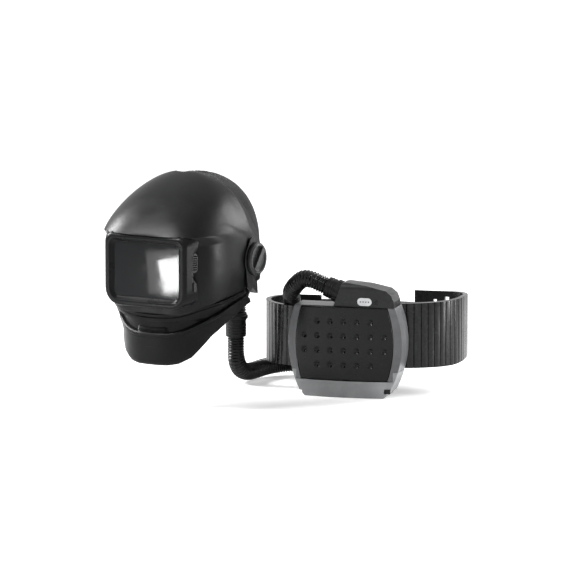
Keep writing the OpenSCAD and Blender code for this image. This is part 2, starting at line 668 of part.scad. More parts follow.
// Barrel outline between two heights, as an upright slab from y0 to y1
module barrel(z0, z1, inset, y0, y1) {
    translate([0, y1, 0]) rotate([90, 0, 0]) linear_extrude(y1 - y0) polygon(concat(
        [for (k = [0:10]) let (z = mix(z0, z1, k / 10)) [barrel_w(z) - inset, z]],
        [for (k = [10:-1:0]) let (z = mix(z0, z1, k / 10)) [-barrel_w(z) + inset, z]]));
}
module panel(z0, z1, inset, y0, y1) {
    translate([0, y1, 0]) rotate([90, 0, 0]) linear_extrude(y1 - y0) polygon(concat(
        [for (k = [0:10]) let (z = mix(z0, z1, k / 10)) [panel_w(z) - inset, z]],
        [for (k = [10:-1:0]) let (z = mix(z0, z1, k / 10)) [-panel_w(z) + inset, z]]));
}
module bulge(inset) translate([0, front_y + bulge_r, -10])
    cylinder(r = bulge_r - inset, h = 260, $fn = 180);
fan_z = (panel_z + blower_h) / 2;
inlet_d = 52;
cover_back_y = front_y + 12;
chamber_back = split_y - 3;
module ear_cut(grow) for (side = [-1, 1]) translate([side > 0 ? 90 - grow : -130, -60, -1])
    cube([40 + grow, 120, ear_z + 1 + grow]);
module rear_housing() color("#85898c") at_blower() difference() {
    barrel(panel_z, blower_h, 0, split_y, rear_y);
    barrel(panel_z + blower_wall, blower_h - blower_wall, blower_wall, split_y - 1,
        rear_y - blower_wall);
    ear_cut(seat_gap);
    // way up into the outlet hump
    translate([8, 4, blower_h - 5]) cube([52, 20, 10]);
}
module front_housing() color("#8d9194") at_blower() difference() {
    intersection() {
        barrel(panel_z, blower_h, 0, front_y, split_y - seat_gap);
        bulge(0);
    }
    panel(panel_z - 1, blower_h + 1, -seat_gap, front_y - 1, cover_back_y);
    panel(panel_z + 12, blower_h - 12, 9, cover_back_y - 1, chamber_back);
    translate([0, 1, fan_z]) rotate([90, 0, 0]) cylinder(d = inlet_d, h = 8);
    ear_cut(seat_gap);
}
cover_wall = 2.5;
module filter_cover() color("#1a1b1d") at_blower() difference() {
    intersection() {
        panel(panel_z + seat_gap, blower_h - seat_gap, seat_gap, front_y, cover_back_y - run_gap);
        bulge(0);
    }
    intersection() {
        panel(panel_z + 8, blower_h - 8, 8, front_y, cover_back_y);
        bulge(cover_wall + 2);
    }
    for (row = [0:3]) for (col = [-3:3]) if (abs(col) < 3 || row == 1 || row == 2)
        translate([col * dimple_dx, front_y + pow(col * dimple_dx, 2) / (2 * bulge_r),
                fan_z + 1 + (row - 1.5) * dimple_dz]) rotate([90, 0, 0]) {
            translate([0, 0, 2.4]) sphere(d = dimple_d + 1.2);
            translate([0, 0, -9]) cylinder(d = 3, h = 12);
        }
}
module filter_slab(w, h, y, t) translate([-w / 2, y, fan_z - h / 2]) cube([w, t, h]);
filter_w = 142;
filter_h = blower_h - panel_z - 36.4;
arrestor_t = 1;
arrestor_y = cover_back_y - run_gap;
prefilter_t = 3.5;
prefilter_y = arrestor_y + arrestor_t + seat_gap;
filter_y = prefilter_y + prefilter_t + seat_gap;
seal_t = 2.2;
seal_y = chamber_back - seat_gap - seal_t;
module spark_arrestor() color("#a8abad") at_blower() difference() {
    filter_slab(filter_w, filter_h, arrestor_y, arrestor_t);
    for (x = [-60:10:60]) for (z = [-40:10:40]) translate([x, arrestor_y + 2, fan_z + z])
        rotate([90, 0, 0]) cylinder(d = 5, h = 4, $fn = 16);
}
module prefilter() color("#e7e6df") at_blower()
    filter_slab(filter_w, filter_h, prefilter_y, prefilter_t);
module particle_filter() color("#efeee8") at_blower()
    filter_slab(filter_w, filter_h, filter_y, seal_y - seat_gap - filter_y);
module filter_seal() color("#3a3b3d") at_blower() difference() {
    filter_slab(filter_w, filter_h, seal_y, seal_t);
    filter_slab(filter_w - 20, filter_h - 20, seal_y - 1, seal_t + 2);
}

// ---- Fan ----
scroll_r = impeller_d / 2 + 6;
fan_y = split_y + 3;
fan_h = 17;
motor_back = rear_y - blower_wall - 0.3;
motor_l = 8;
module fan_scroll() color("#5b5e61") at_blower() translate([0, fan_y + fan_h, fan_z])
    rotate([90, 0, 0]) difference() {
        union() {
            cylinder(r = scroll_r, h = fan_h);
            translate([10, 0, 0]) cube([scroll_r - 10, blower_h - fan_z - 3, fan_h]);
        }
        translate([0, 0, 2]) cylinder(r = scroll_r - 2, h = fan_h);
        translate([12, 0, 2]) cube([scroll_r - 14, blower_h - fan_z, fan_h]);
        cylinder(d = motor_d + 2 * run_gap, h = 10, center = true);
    }
module impeller() color("#d8d9d6") at_blower() translate([0, fan_y + fan_h - 3, fan_z])
    rotate([90, 0, 0]) difference() {
        union() {
            cylinder(d = impeller_d, h = 1.6);
            cylinder(d = 16, h = 9);
            for (k = [0:15]) rotate([0, 0, 22.5 * k]) translate([24, -0.8, 0])
                rotate([0, 0, 20]) cube([21, 1.6, 10]);
        }
        translate([0, 0, -1]) cylinder(d = shaft_d, h = 20);
    }
module motor() color("#9a9da0") at_blower() translate([0, motor_back, fan_z])
    rotate([90, 0, 0]) difference() {
        cylinder(d = motor_d, h = motor_l);
        translate([0, 0, -1]) cylinder(d = shaft_d + 0.4, h = 10);
    }
module motor_shaft() color("#c8cacc") at_blower() translate([0, motor_back, fan_z])
    rotate([90, 0, 0]) cylinder(d = shaft_d, h = motor_l + 11);

// ---- Outlet hump and controls ----
hump_y = 24;
hump_r = 14;
pill_w = 27;
pill_h = 14.6;
pill_x = 37.7;
pill_z = blower_h + 10;
button_x = 58.5;
module hump_outline(inset) {
    translate([0, blower_h]) polygon([[-20.6 + inset, 0], [-5.6 + inset, 41.5 - inset],
        [0, 43 - inset], [40, 39 - inset], [77, 31 - inset], [87, 23 - inset],
        [92 - inset, 11], [92.5 - inset, 0]]);
}
module hump_solid(inset) intersection() {
    translate([0, hump_y - inset, 0]) rotate([90, 0, 0]) linear_extrude(2 * (hump_y - inset))
        hump_outline(inset);
    translate([-60, 0, 0]) rotate([90, 0, 90]) linear_extrude(200) {
        translate([-hump_y + inset, blower_h - 15])
            square([2 * (hump_y - inset), 46 - inset]);
        translate([hump_r - hump_y, blower_h - 15])
            square([2 * (hump_y - hump_r), 46 + hump_r - inset]);
        for (y = [-1, 1]) translate([y * (hump_y - hump_r), blower_h + 31 - inset])
            circle(hump_r - inset);
    }
}
module outlet_hump() color("#7f8386") at_blower() difference() {
    union() {
        intersection() {
            hump_solid(0);
            translate([-100, -50, blower_h + 0.1]) cube([300, 100, 100]);
        }
        translate(outlet_at) rotate([0, outlet_rise - 90, 0]) translate([0, 0, -4])
            cylinder(d = cuff_d + 5, h = 4);
    }
    difference() {
        hump_solid(blower_wall);
        translate([-100, -50, 0]) cube([300, 100, blower_h + 0.05]);
    }
    translate(outlet_at) rotate([0, outlet_rise - 90, 0]) translate([0, 0, -12])
        cylinder(d = hose_bore + 4, h = 20);
    translate([pill_x, -hump_y + 2, pill_z]) rotate([90, 0, 0]) pill_prism(0, 6);
    translate([button_x, -hump_y + 5, pill_z]) rotate([90, 0, 0])
        cylinder(d = 7 + 2 * run_gap, h = 10);
}
module pill_prism(inset, t) linear_extrude(t) {
    square([pill_w - pill_h, pill_h - 2 * inset], center = true);
    for (x = [-1, 1]) translate([x * (pill_w - pill_h) / 2, 0]) circle(pill_h / 2 - inset);
}
module outlet_seal() color("#3a3b3d") at_outlet() translate([0, 0, -8]) difference() {
    cylinder(d = hose_bore + 4 - 2 * seat_gap, h = 8);
    translate([0, 0, -1]) cylinder(d = hose_bore, h = 10);
}
module indicator_window() color("#0f1012") at_blower()
    translate([pill_x, -hump_y + 2 - seat_gap, pill_z]) rotate([90, 0, 0]) difference() {
        pill_prism(seat_gap, 2.4);
        for (k = [0:3]) translate([-7.5 + 5 * k, 0, 1.2]) cylinder(d = 2.6, h = 3);
    }
module indicator_lamps() color("#8fd39a") at_blower() for (k = [0:3])
    translate([pill_x - 7.5 + 5 * k, -hump_y + 2 - seat_gap - 1.2, pill_z]) rotate([90, 0, 0])
        cylinder(d = 2.6 - 2 * seat_gap, h = 1.2);
module power_button() color("#2a2c2f") at_blower() {
    translate([button_x, -hump_y + 2.6, pill_z]) rotate([90, 0, 0]) cylinder(d = 7, h = 4);
    translate([button_x, -hump_y + 6, pill_z]) rotate([90, 0, 0]) cylinder(d = 4, h = 6);
}
module control_board() color("#2c5d43") at_blower()
    translate([18, -hump_y + 8.5, blower_h + 0.3]) cube([56, 1.6, 22]);

// ---- Battery ----
cell_y = 3;
latch_x = 80;
battery_r = 10;
module battery_shape(inset) {
    intersection() {
        union() {
            barrel(0.01, battery_h, inset, front_y, rear_y);
            intersection() {
                barrel(battery_h - 1, ear_z, inset, front_y, rear_y);
                ear_cut(0);
            }
        }
        bulge(inset);
    }
}
module battery_case() color("#6f7376") at_blower() difference() {
    battery_shape(0);
    for (side = [-1, 1]) translate([side * (barrel_w(0) - battery_r), 0, battery_r])
        rotate([90, 0, 0]) difference() {
            translate([side > 0 ? 0 : -30, -30, -60]) cube([30, 30, 120]);
            cylinder(r = battery_r + 1, h = 120, center = true);
        }
    translate([-68, cell_y - cell_d - 0.5, 4]) cube([136, 2 * cell_d + 1, cell_d + 1]);
    translate([latch_x - 6, bulge_y(latch_x) - 6, 8]) cube([12, 10, 9]);
}
module battery_cells() color("#3f6f9d") at_blower() for (side = [-1, 1]) for (row = [-1, 1])
    translate([side * 33, cell_y + row * cell_d / 2, 4 + cell_d / 2]) rotate([0, 90, 0])
        cylinder(d = cell_d - 0.4, h = 65, center = true);
module battery_latch() color("#202124") at_blower()
    translate([latch_x - 6 + run_gap, bulge_y(latch_x) - 0.6, 8 + run_gap])
        cube([12 - 2 * run_gap, 2.4, 9 - 2 * run_gap]);
screw_places = [[-72, blower_h - 15], [72, blower_h - 15], [-94, 100], [94, 100], [-86, 55], [86, 55]];
module housing_screws() color("#b4b7ba") at_blower() for (p = screw_places)
    translate([p[0], rear_y + 2, p[1]]) rotate([90, 0, 0]) cylinder(d = 6, h = 2 - seat_gap);

// ---- Belt ----
belt_cy = 140;
belt_power = 2.4;
wing_start = 17.2;
bracket_w = 132;
bracket_t = 11;
module belt_bracket() color("#2b2d30") at_blower()
    translate([-bracket_w / 2, rear_y + seat_gap, 56]) cube([bracket_w, bracket_t, blower_h - 81]);
// One wing in plan: segments with grooves between them on the outside
function wing_outer(k, n, a0, a1, out) =
    let (a = mix(a0, a1, k / n))
    [(belt_half_w - out) * signed_pow(sin(a), 2 / belt_power),
        belt_cy - (belt_half_l - out) * signed_pow(cos(a), 2 / belt_power)];
module wing_plan(n, a0, a1) {
    polygon(concat(
        [for (k = [0:n - 1]) each [wing_outer(k + 0.06, n, a0, a1, 0), wing_outer(k + 0.5, n, a0, a1, 0),
            wing_outer(k + 0.94, n, a0, a1, 0), wing_outer(k + 1, n, a0, a1, k < n - 1 ? groove_depth : 0)]],
        [for (k = [2 * n:-1:0]) wing_outer(k / 2, n, a0, a1, wing_t)]));
}
module wing(n, a0, a1, low, high) intersection() {
    linear_extrude(200) wing_plan(n, a0, a1);
    translate([-250, 0, 0]) rotate([90, 0, 90]) linear_extrude(500) polygon(concat(low, high));
}
module belt_wing_left() color("#5d6164") at_blower() difference() {
    wing(23, -wing_start, -147, [[0, 44], [60, 40], [130, 38], [180, 45], [215, 60], [250, 82]],
        [[250, blower_h - 39], [238, blower_h - 23], [200, blower_h - 18],
            [130, blower_h - 14], [0, blower_h - 15]]);
    translate([-150, 205, blower_h - 53]) cube([30, 50, 16]);
}
module belt_wing_right() color("#5d6164") at_blower() difference() {
    wing(28, wing_start, 162, [[0, 44], [90, 47], [150, 54], [190, 64], [225, 76], [250, 88]],
        [[250, blower_h - 11], [238, blower_h - 7], [200, blower_h],
            [130, blower_h + 3], [0, blower_h - 3]]);
    for (slot = [[128, 9, 24], [104, 7, 17], [80, 5, 6]])
        translate([slot[0], 180, blower_h - 37]) cube([slot[1], 90, slot[2]]);
}
module belt_webbing() color("#2a2b2d") at_blower() translate([0, 0, 95]) linear_extrude(webbing_w)
    plan_band(belt_half_w + 3, belt_half_l + 3, 2.5, belt_power, belt_cy, 138, 222, 30);
buckle_x = -20;
buckle_y = belt_cy + belt_half_l + 3 + seat_gap;
module buckle_body() color("#1b1c1e") at_blower() difference() {
    translate([buckle_x - 32, buckle_y, 92]) cube([64, 10, webbing_w + 6]);
    translate([buckle_x - 12, buckle_y + 5, 91 + 8]) cube([24, 6, webbing_w - 8]);
}
module buckle_release() color("#3b3d40") at_blower()
    translate([buckle_x - 12 + run_gap, buckle_y + 7, 99 + run_gap])
        cube([24 - 2 * run_gap, 5, webbing_w - 8 - 2 * run_gap]);

shield_shell();
visor_bezel();
cover_plate();
filter_cassette();
filter_glass();
retainer_frame();
side_vents();
mode_button();
pivot_plates();
pivot_knob_left();
pivot_knob_right();
pivot_axles();
side_arms();
visor_carrier();
clear_visor();
face_seal();
jaw_guard();
exhaust_filter();
head_cover();
headband();
sweatband();
crown_straps();
ratchet_housing();
ratchet_knob();
nape_pad();
air_duct();
duct_bellows();
swivel_ring();
latch_button();
hose_cuff_helmet();
breathing_hose();
hose_cuff_blower();
bayonet_collar();
rear_housing();
front_housing();
filter_cover();
spark_arrestor();
prefilter();
particle_filter();
filter_seal();
fan_scroll();
impeller();
motor();
motor_shaft();
outlet_hump();
outlet_seal();
control_board();
indicator_window();
indicator_lamps();
power_button();
battery_case();
battery_cells();
battery_latch();
housing_screws();
belt_bracket();
belt_wing_left();
belt_wing_right();
belt_webbing();
buckle_body();
buckle_release();
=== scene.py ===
"""Powered air respirator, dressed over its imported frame.

A flip-up helmet with a raised window box, a jaw guard, a textile crown cover
and a head harness takes its air through a ribbed hose from a blower that is
worn at the back on a grooved waist belt. Lengths inside the classes are in
millimetres, as on a drawing; meshes are put down in metres. X points to the
wearer's left, minus Y ahead and Z up, with the origin between the two pivots.
"""

import json
import logging
import math
from dataclasses import dataclass, field
from enum import Enum

import bmesh
import bpy
import numpy as np
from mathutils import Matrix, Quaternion, Vector


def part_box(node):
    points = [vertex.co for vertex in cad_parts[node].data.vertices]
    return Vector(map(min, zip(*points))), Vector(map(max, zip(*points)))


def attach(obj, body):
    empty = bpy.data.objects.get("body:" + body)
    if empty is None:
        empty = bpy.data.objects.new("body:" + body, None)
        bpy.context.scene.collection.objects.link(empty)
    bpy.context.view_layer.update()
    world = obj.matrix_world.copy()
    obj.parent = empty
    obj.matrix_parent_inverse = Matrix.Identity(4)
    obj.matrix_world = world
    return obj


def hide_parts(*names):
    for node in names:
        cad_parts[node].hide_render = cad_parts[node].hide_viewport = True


LOG = logging.getLogger("respirator")
MM = 0.001
Array = np.ndarray
Piece = bpy.types.Object
Node = bpy.types.Node
Socket = bpy.types.NodeSocket
Color = tuple[float, float, float]
DUST_COLOR: Color = (0.46, 0.45, 0.43)
RUBBED_PALER = 0.06
BRUSH_DEPTH = 0.00002
RUN_DEPTH = 0.00008
SATIN_BLACK: Color = (0.005, 0.0051, 0.0056)
# Height of the seam between shield and jaw guard, by degrees from straight ahead.
SEAM = [(0, -90), (15, -88), (27, -82), (37, -75), (50, -70), (64, -65), (78, -60), (85, -56),
        (88, -50), (90, -42)]


class Coordinates(Enum):
    """What a pattern is laid out on."""

    OBJECT = "Object"
    UV = "UV"


# ---------------------------------------------------------------- numbers


def signed_power(value: Array, exponent: float | Array) -> Array:
    """Raises the size of each value to a power and keeps its sign.

    Args:
        value: numbers of either sign.
        exponent: one power, or one for each value.

    Returns:
        sign(value) times |value| to the exponent.
    """
    return np.sign(value) * np.abs(value) ** exponent


def ease(value: Array, low: float | Array, high: float | Array) -> Array:
    """Goes smoothly from 0 at low to 1 at high: 3t squared minus 2t cubed.

    Args:
        value: where to read the step.
        low: where it starts.
        high: where it ends.

    Returns:
        The share, from 0 to 1, of the shape of value.
    """
    t = np.clip((value - low) / (high - low), 0.0, 1.0)
    return t * t * (3.0 - 2.0 * t)


def table(value: Array, pairs: list[tuple[float, float]]) -> Array:
    """Reads a list of (place, height) pairs with straight lines between them.

    Args:
        value: places to read.
        pairs: the list, in order of place.

    Returns:
        The heights at those places.
    """
    places, heights = np.array(pairs, float).T
    return np.interp(value, places, heights)


def section(half_width: Array, front: Array, rear: float | Array, power: Array,
            angle: Array, z: Array) -> Array:
    """A level slice of a shell: a superellipse from cheek over face to cheek.

    x is half_width times signed sin(angle) to 2/power; y goes back from the
    front by the signed cos(angle) to 2/power, reaching rear at 90 degrees.

    Args:
        half_width: half the slice's width.
        front: how far ahead of the pivots it reaches.
        rear: how far behind them its ends lie.
        power: 2 for an ellipse, more for a squarer slice.
        angle: degrees, 0 straight ahead and 90 at the wearer's left.
        z: height of the slice.

    Returns:
        Points with x, y and z on the last axis.
    """
    turn = np.radians(angle)
    x = half_width * signed_power(np.sin(turn), 2.0 / power)
    y = rear - (front + rear) * signed_power(np.cos(turn), 2.0 / power)
    return np.stack(np.broadcast_arrays(x, y, z), axis=-1)


def rounded_loop(width: float | Array, low: float | Array, high: float | Array,
                 radius: float | Array, arc: int = 7, side: int = 12,
                 low_radius: float | Array | None = None) -> Array:
    """A rectangle with round corners, walked anticlockwise in x and z.

    Each corner is arc points on a quarter circle about a centre set in by the
    radius; each side adds points at even steps between two corners.

    Args:
        width: full width about x = 0.
        low: lowest z.
        high: highest z.
        radius: corner radius.
        arc: points in a corner.
        side: steps along a side.
        low_radius: radius of the lower corners, where it is another.

    Returns:
        Closed loop of (x, z); a leading axis is kept when sizes are arrays.
    """
    sizes = (width, low, high, radius, radius if low_radius is None else low_radius)
    width, low, high, radius, low_radius = np.broadcast_arrays(
        *(np.atleast_1d(np.asarray(v, float)) for v in sizes))
    quarter = np.linspace(0, np.pi / 2, arc)
    turn = np.concatenate([quarter + k * np.pi / 2 for k in range(4)])
    sx = np.repeat([1, -1, -1, 1], arc)
    sz = np.repeat([1, 1, -1, -1], arc)
    bend = np.where(sz > 0, radius[:, None], low_radius[:, None])
    x = (width[:, None] / 2 - bend) * sx + bend * np.cos(turn)
    z = np.where(sz > 0, high[:, None] - bend, low[:, None] + bend) + bend * np.sin(turn)
    corners = np.stack([x, z], -1).reshape(len(width), 4, arc, 2)
    follow = np.roll(corners, -1, axis=1)[:, :, :1]
    share = (np.arange(1, side) / side)[None, None, :, None]
    sides = corners[:, :, -1:] * (1 - share) + follow * share
    return np.concatenate([corners, sides], axis=2).reshape(len(width), -1, 2)


def spline(points: Array, steps: int) -> Array:
    """A smooth curve through points (Catmull-Rom, uniform).

    Args:
        points: the places it goes through, one a row.
        steps: parts of each span.

    Returns:
        Points along it, both ends included.
    """
    ends = np.concatenate([points[:1], points, points[-1:]])
    a, b, c, d = (ends[k:len(ends) - 3 + k, None, :] for k in range(4))
    t = (np.arange(steps) / steps)[None, :, None]
    curve = 0.5 * (2 * b + (c - a) * t + (2 * a - 5 * b + 4 * c - d) * t ** 2
                   + (3 * b - a - 3 * c + d) * t ** 3)
    return np.concatenate([curve.reshape(-1, points.shape[1]), points[-1:]])


def spaced(points: Array, count: int) -> tuple[Array, float]:
    """Lays points at even distances along a curve.

    Args:
        points: the curve.
        count: how many to lay.

    Returns:
        The points, and the curve's length.
    """
    walked = np.concatenate([[0], np.cumsum(np.linalg.norm(np.diff(points, axis=0), axis=1))])
    at = np.linspace(0, walked[-1], count)
    return np.stack([np.interp(at, walked, axis) for axis in points.T], -1), float(walked[-1])


def ribbed(curve: Array, crest: float, depth: float, pitch: float, steps: int, power: float,
           sides: int) -> tuple[Array, Array]:
    """A ribbed tube along a curve.

    The radius is the crest less depth times a rounded groove, the cosine of
    the way along to the pitch, raised to a power so that crests stay narrow.

    Args:
        curve: its centre line.
        crest: radius over the ribs.
        depth: of the grooves.
        pitch: from rib to rib, about.
        steps: points to a rib.
        power: above 1 for crests narrower than grooves.
        sides: points round the tube.

    Returns:
        The centre points, and the rings round them.
    """
    ribs = round(spaced(curve, 2)[1] / pitch)
    path, _ = spaced(curve, ribs * steps + 1)
    phase = np.cos(np.linspace(0, 2 * np.pi * ribs, len(path)))
    return path, rings(path, crest - depth * (1 - (0.5 + 0.5 * phase) ** power), sides)


def rings(path: Array, radius: Array, sides: int) -> Array:
    """Circles round a path, one at each of its points.

    The circle's first axis is the part, across the path, of the one fixed
    direction, out of many spread over a sphere, that stays farthest from
    every tangent.

    Args:
        path: centre points.
        radius: one radius for each.
        sides: points round a circle.

    Returns:
        Points of shape (path, sides, 3).
    """
    along = np.gradient(path, axis=0)
    along /= np.linalg.norm(along, axis=1, keepdims=True)
    directions = 400
    k = np.arange(directions) + 0.5
    lift, turn = 1 - 2 * k / directions, np.pi * (1 + 5 ** 0.5) * k
    flat = np.sqrt(1 - lift ** 2)
    tries = np.stack([flat * np.cos(turn), flat * np.sin(turn), lift], -1)
    best = tries[np.argmin(np.abs(along @ tries.T).max(axis=0))]
    first = best - (along @ best)[:, None] * along
    first /= np.linalg.norm(first, axis=1, keepdims=True)
    second = np.cross(along, first)
    round_ = np.linspace(0, 2 * np.pi, sides, endpoint=False)[None, :, None]
    return path[:, None] + radius[:, None, None] * (first[:, None] * np.cos(round_)
                                                    + second[:, None] * np.sin(round_))


def plan_oval(half_width: float, half_length: float, power: float, centre: float,
              first: float, last: float, count: int) -> Array:
    """A superellipse in plan, from one angle to another.

    Args:
        half_width: its reach along x.
        half_length: its reach along y.
        power: 2 for an ellipse, more for a squarer one.
        centre: its y.
        first: first angle from the front, in degrees.
        last: last angle.
        count: points.

    Returns:
        Points with z zero.
    """
    turn = np.radians(np.linspace(first, last, count))
    return np.stack([half_width * signed_power(np.sin(turn), 2 / power),
                     centre - half_length * signed_power(np.cos(turn), 2 / power), 0 * turn], -1)


def sideways(line: Array) -> Array:
    """Level unit vectors square to a line: its direction crossed with Z.

    Args:
        line: points in plan.

    Returns:
        One vector for each point.
    """
    along = np.gradient(line, axis=0)
    along /= np.linalg.norm(along, axis=1, keepdims=True)
    return np.cross(along, [0, 0, 1])


def at_depth(loops: Array, y: Array) -> Array:
    """Stands loops of (x, z), one a row, at their depths along y."""
    return np.stack([loops[..., 0], np.broadcast_to(y, loops.shape[:-1]), loops[..., 1]], -1)


def capped(points: Array) -> Array:
    """Adds a row at each end of a grid of loops, gathered to its middle."""
    ends = [row.mean(1, keepdims=True) + 0 * row for row in (points[:1], points[-1:])]
    return np.concatenate([ends[0], points, ends[1]])


# ---------------------------------------------------------------- meshes


def quads(rows: int, cols: int, round_rows: bool = False, round_cols: bool = False) -> Array:
    """Corner numbers of every cell of a grid of points.

    Args:
        rows: points down the grid.
        cols: points across it.
        round_rows: whether the last row meets the first.
        round_cols: whether the last column meets the first.

    Returns:
        One row of four numbers for each cell, of shape (rows, cols, 4) cells.
    """
    i = np.arange(rows if round_rows else rows - 1)[:, None]
    j = np.arange(cols if round_cols else cols - 1)[None, :]
    i, j = np.broadcast_arrays(i, j)
    down, over = (i + 1) % rows, (j + 1) % cols
    return np.stack([i * cols + j, i * cols + over, down * cols + over, down * cols + j], -1)


def grid_piece(name: str, points: Array, *, round_rows: bool = False, round_cols: bool = False,
               keep: Array | None = None, flip: bool = False, closed: bool = False,
               sharp: float = 50.0) -> Piece:
    """Makes a smooth mesh from a grid of points in millimetres.

    The UV map runs along the grid's two ways in metres, from the mean length
    of its steps, so that a weave keeps one scale over the piece.

    Args:
        name: the piece's name.
        points: grid of shape (rows, cols, 3).
        round_rows: whether the last row meets the first.
        round_cols: whether the last column meets the first.
        keep: which cells to make; all of them when left out.
        flip: turns the faces round.
        closed: welds what touches and turns every face outwards.
        sharp: angle in degrees above which an edge stays crisp.

    Returns:
        The new object, linked to the scene.
    """
    rows, cols = points.shape[:2]
    cells = quads(rows, cols, round_rows, round_cols)
    step_down = np.linalg.norm(np.diff(points, axis=0), axis=2).mean(axis=1) * MM
    step_over = np.linalg.norm(np.diff(points, axis=1), axis=2).mean(axis=0) * MM
    far_v = np.concatenate([[0], np.cumsum(np.append(step_down, step_down[-1]))])
    far_u = np.concatenate([[0], np.cumsum(np.append(step_over, step_over[-1]))])
    i, j = np.meshgrid(np.arange(cells.shape[0]), np.arange(cells.shape[1]), indexing="ij")
    uv = np.stack([np.stack([far_u[j + dj], far_v[i + di]], -1)
                   for di, dj in ((0, 0), (0, 1), (1, 1), (1, 0))], 2)
    chosen = np.ones(cells.shape[:2], bool) if keep is None else keep
    faces, uv = cells[chosen], uv[chosen]
    if flip:
        faces, uv = faces[:, ::-1], uv[:, ::-1]
    mesh = bpy.data.meshes.new(name)
    mesh.vertices.add(rows * cols)
    mesh.vertices.foreach_set("co", (points.reshape(-1) * MM).astype(np.float32))
    mesh.loops.add(faces.size)
    mesh.loops.foreach_set("vertex_index", faces.reshape(-1).astype(np.int32))
    mesh.polygons.add(len(faces))
    mesh.polygons.foreach_set("loop_start", np.arange(0, faces.size, 4, dtype=np.int32))
    layer = mesh.uv_layers.new(name="UVMap")
    mesh.update(calc_edges=True)
    layer.data.foreach_set("uv", uv.reshape(-1).astype(np.float32))
    mesh.validate()
    return finished(name, mesh, closed, sharp)


def finished(name: str, mesh: bpy.types.Mesh, closed: bool, sharp: float) -> Piece:
    """Welds a mesh, sets its crisp edges and links it as an object.

    Args:
        name: the piece's name.
        mesh: the mesh to finish.
        closed: whether faces are turned to point out of the closed form.
        sharp: angle in degrees above which an edge stays crisp.

    Returns:
        The new object.
    """
    work = bmesh.new()
    work.from_mesh(mesh)
    bmesh.ops.remove_doubles(work, verts=work.verts, dist=2e-6)
    bmesh.ops.dissolve_degenerate(work, edges=work.edges, dist=1e-6)
    loose = [v for v in work.verts if not v.link_faces]
    bmesh.ops.delete(work, geom=loose, context="VERTS")
    if closed:
        bmesh.ops.recalc_face_normals(work, faces=work.faces)
    work.to_mesh(mesh)
    work.free()
    return linked(name, mesh, sharp)


def linked(name: str, mesh: bpy.types.Mesh, sharp: float) -> Piece:
    """Shades a mesh smooth between its crisp edges and links it as an object.

    Args:
        name: the piece's name.
        mesh: its mesh.
        sharp: angle in degrees above which an edge stays crisp.

    Returns:
        The new object.
    """
    mesh.shade_smooth()
    mesh.set_sharp_from_angle(angle=math.radians(sharp))
    piece = bpy.data.objects.new(name, mesh)
    bpy.context.scene.collection.objects.link(piece)
    return piece


def thicken(piece: Piece, wall: float) -> None:
    """Gives an open surface a wall behind it, closed along every rim.

    Args:
        piece: the surface.
        wall: its thickness in millimetres.
    """
    wall_maker = piece.modifiers.new("wall", "SOLIDIFY")
    wall_maker.thickness = wall * MM
    wall_maker.offset = -1.0
    wall_maker.use_even_offset = True
    wall_maker.use_rim = True


def moulded_copy(node: str, width: float, sharp: float) -> Piece:
    """A copy of a node's mesh with welded facets and rounded edges.

    Args:
        node: the node it stands for.
        width: width of the rounding in millimetres.
        sharp: degrees above which an edge is rounded.

    Returns:
        The new piece, named after the node.
    """
    mesh = FRAME["nodes"][node].data.copy()
    mesh.materials.clear()
    work = bmesh.new()
    work.from_mesh(mesh)
    bmesh.ops.remove_doubles(work, verts=work.verts, dist=1e-5)
    bmesh.ops.dissolve_degenerate(work, edges=work.edges, dist=1e-5)
    bmesh.ops.dissolve_limit(work, angle_limit=math.radians(0.4), verts=work.verts,
                             edges=work.edges, delimit=set())
    work.to_mesh(mesh)
    work.free()
    piece = linked(f"{node}_moulded", mesh, sharp)
    rounder = piece.modifiers.new("round_edges", "BEVEL")
    rounder.width = width * MM
    rounder.segments = 2
    rounder.limit_method = "ANGLE"
    rounder.angle_limit = math.radians(sharp)
    rounder.use_clamp_overlap = True
    rounder.harden_normals = True
    return piece


# ---------------------------------------------------------------- shading


class Tree:
    """Adds and joins the nodes of one shader tree."""

    def __init__(self, tree: bpy.types.NodeTree) -> None:
        """Keeps the tree that nodes go into."""
        self.tree = tree

    def add(self, kind: str, inputs: dict[str | int, object] | None = None,
            **settings: object) -> Node:
        """Adds a node.

        Args:
            kind: Blender's name of the node type.
            inputs: plain values, or sockets to join, by input name or number.
            settings: the node's own options.

        Returns:
            The node.
        """
        node = self.tree.nodes.new(kind)
        for option, value in settings.items():
            setattr(node, option, value)
        for place, value in (inputs or {}).items():
            self.feed(node.inputs[place], value)
        return node

    def feed(self, socket: Socket, value: object) -> None:
        """Joins another socket to an input, or sets the input plainly.

        Args:
            socket: the input.
            value: a socket to join, or a plain value.
        """
        if isinstance(value, Socket):
            self.tree.links.new(value, socket)
        else:
            socket.default_value = value

    def sum_up(self, how: str, first: object, second: object, clamp: bool = False) -> Socket:
        """Does one sum on two values or sockets and returns its result."""
        return self.add("ShaderNodeMath", {0: first, 1: second}, operation=how,
                        use_clamp=clamp).outputs[0]

    def product(self, first: object, second: object, third: object) -> Socket:
        """Multiplies three values and returns the result, held from 0 to 1."""
        return self.sum_up("MULTIPLY", self.sum_up("MULTIPLY", first, second), third, clamp=True)

    def blend(self, share: object, first: object, second: object) -> Socket:
        """Mixes two colours by a share and returns the colour."""
        return self.add("ShaderNodeMix", {0: share, 6: first, 7: second},
                        data_type="RGBA").outputs[2]

    def range(self, value: Socket, low: float, high: float, to_low: float = 0.0,
              to_high: float = 1.0) -> Socket:
        """Moves a value from one range to another and returns it, held inside."""
        return self.add("ShaderNodeMapRange", {0: value, 1: low, 2: high, 3: to_low,
                                               4: to_high}).outputs[0]

    def noise(self, vector: Socket, scale: object, detail: float, **more: float) -> Socket:
        """Adds a noise laid over a vector and returns its value."""
        return self.add("ShaderNodeTexNoise", {"Vector": vector, "Scale": scale,
                                               "Detail": detail, **more}).outputs[0]


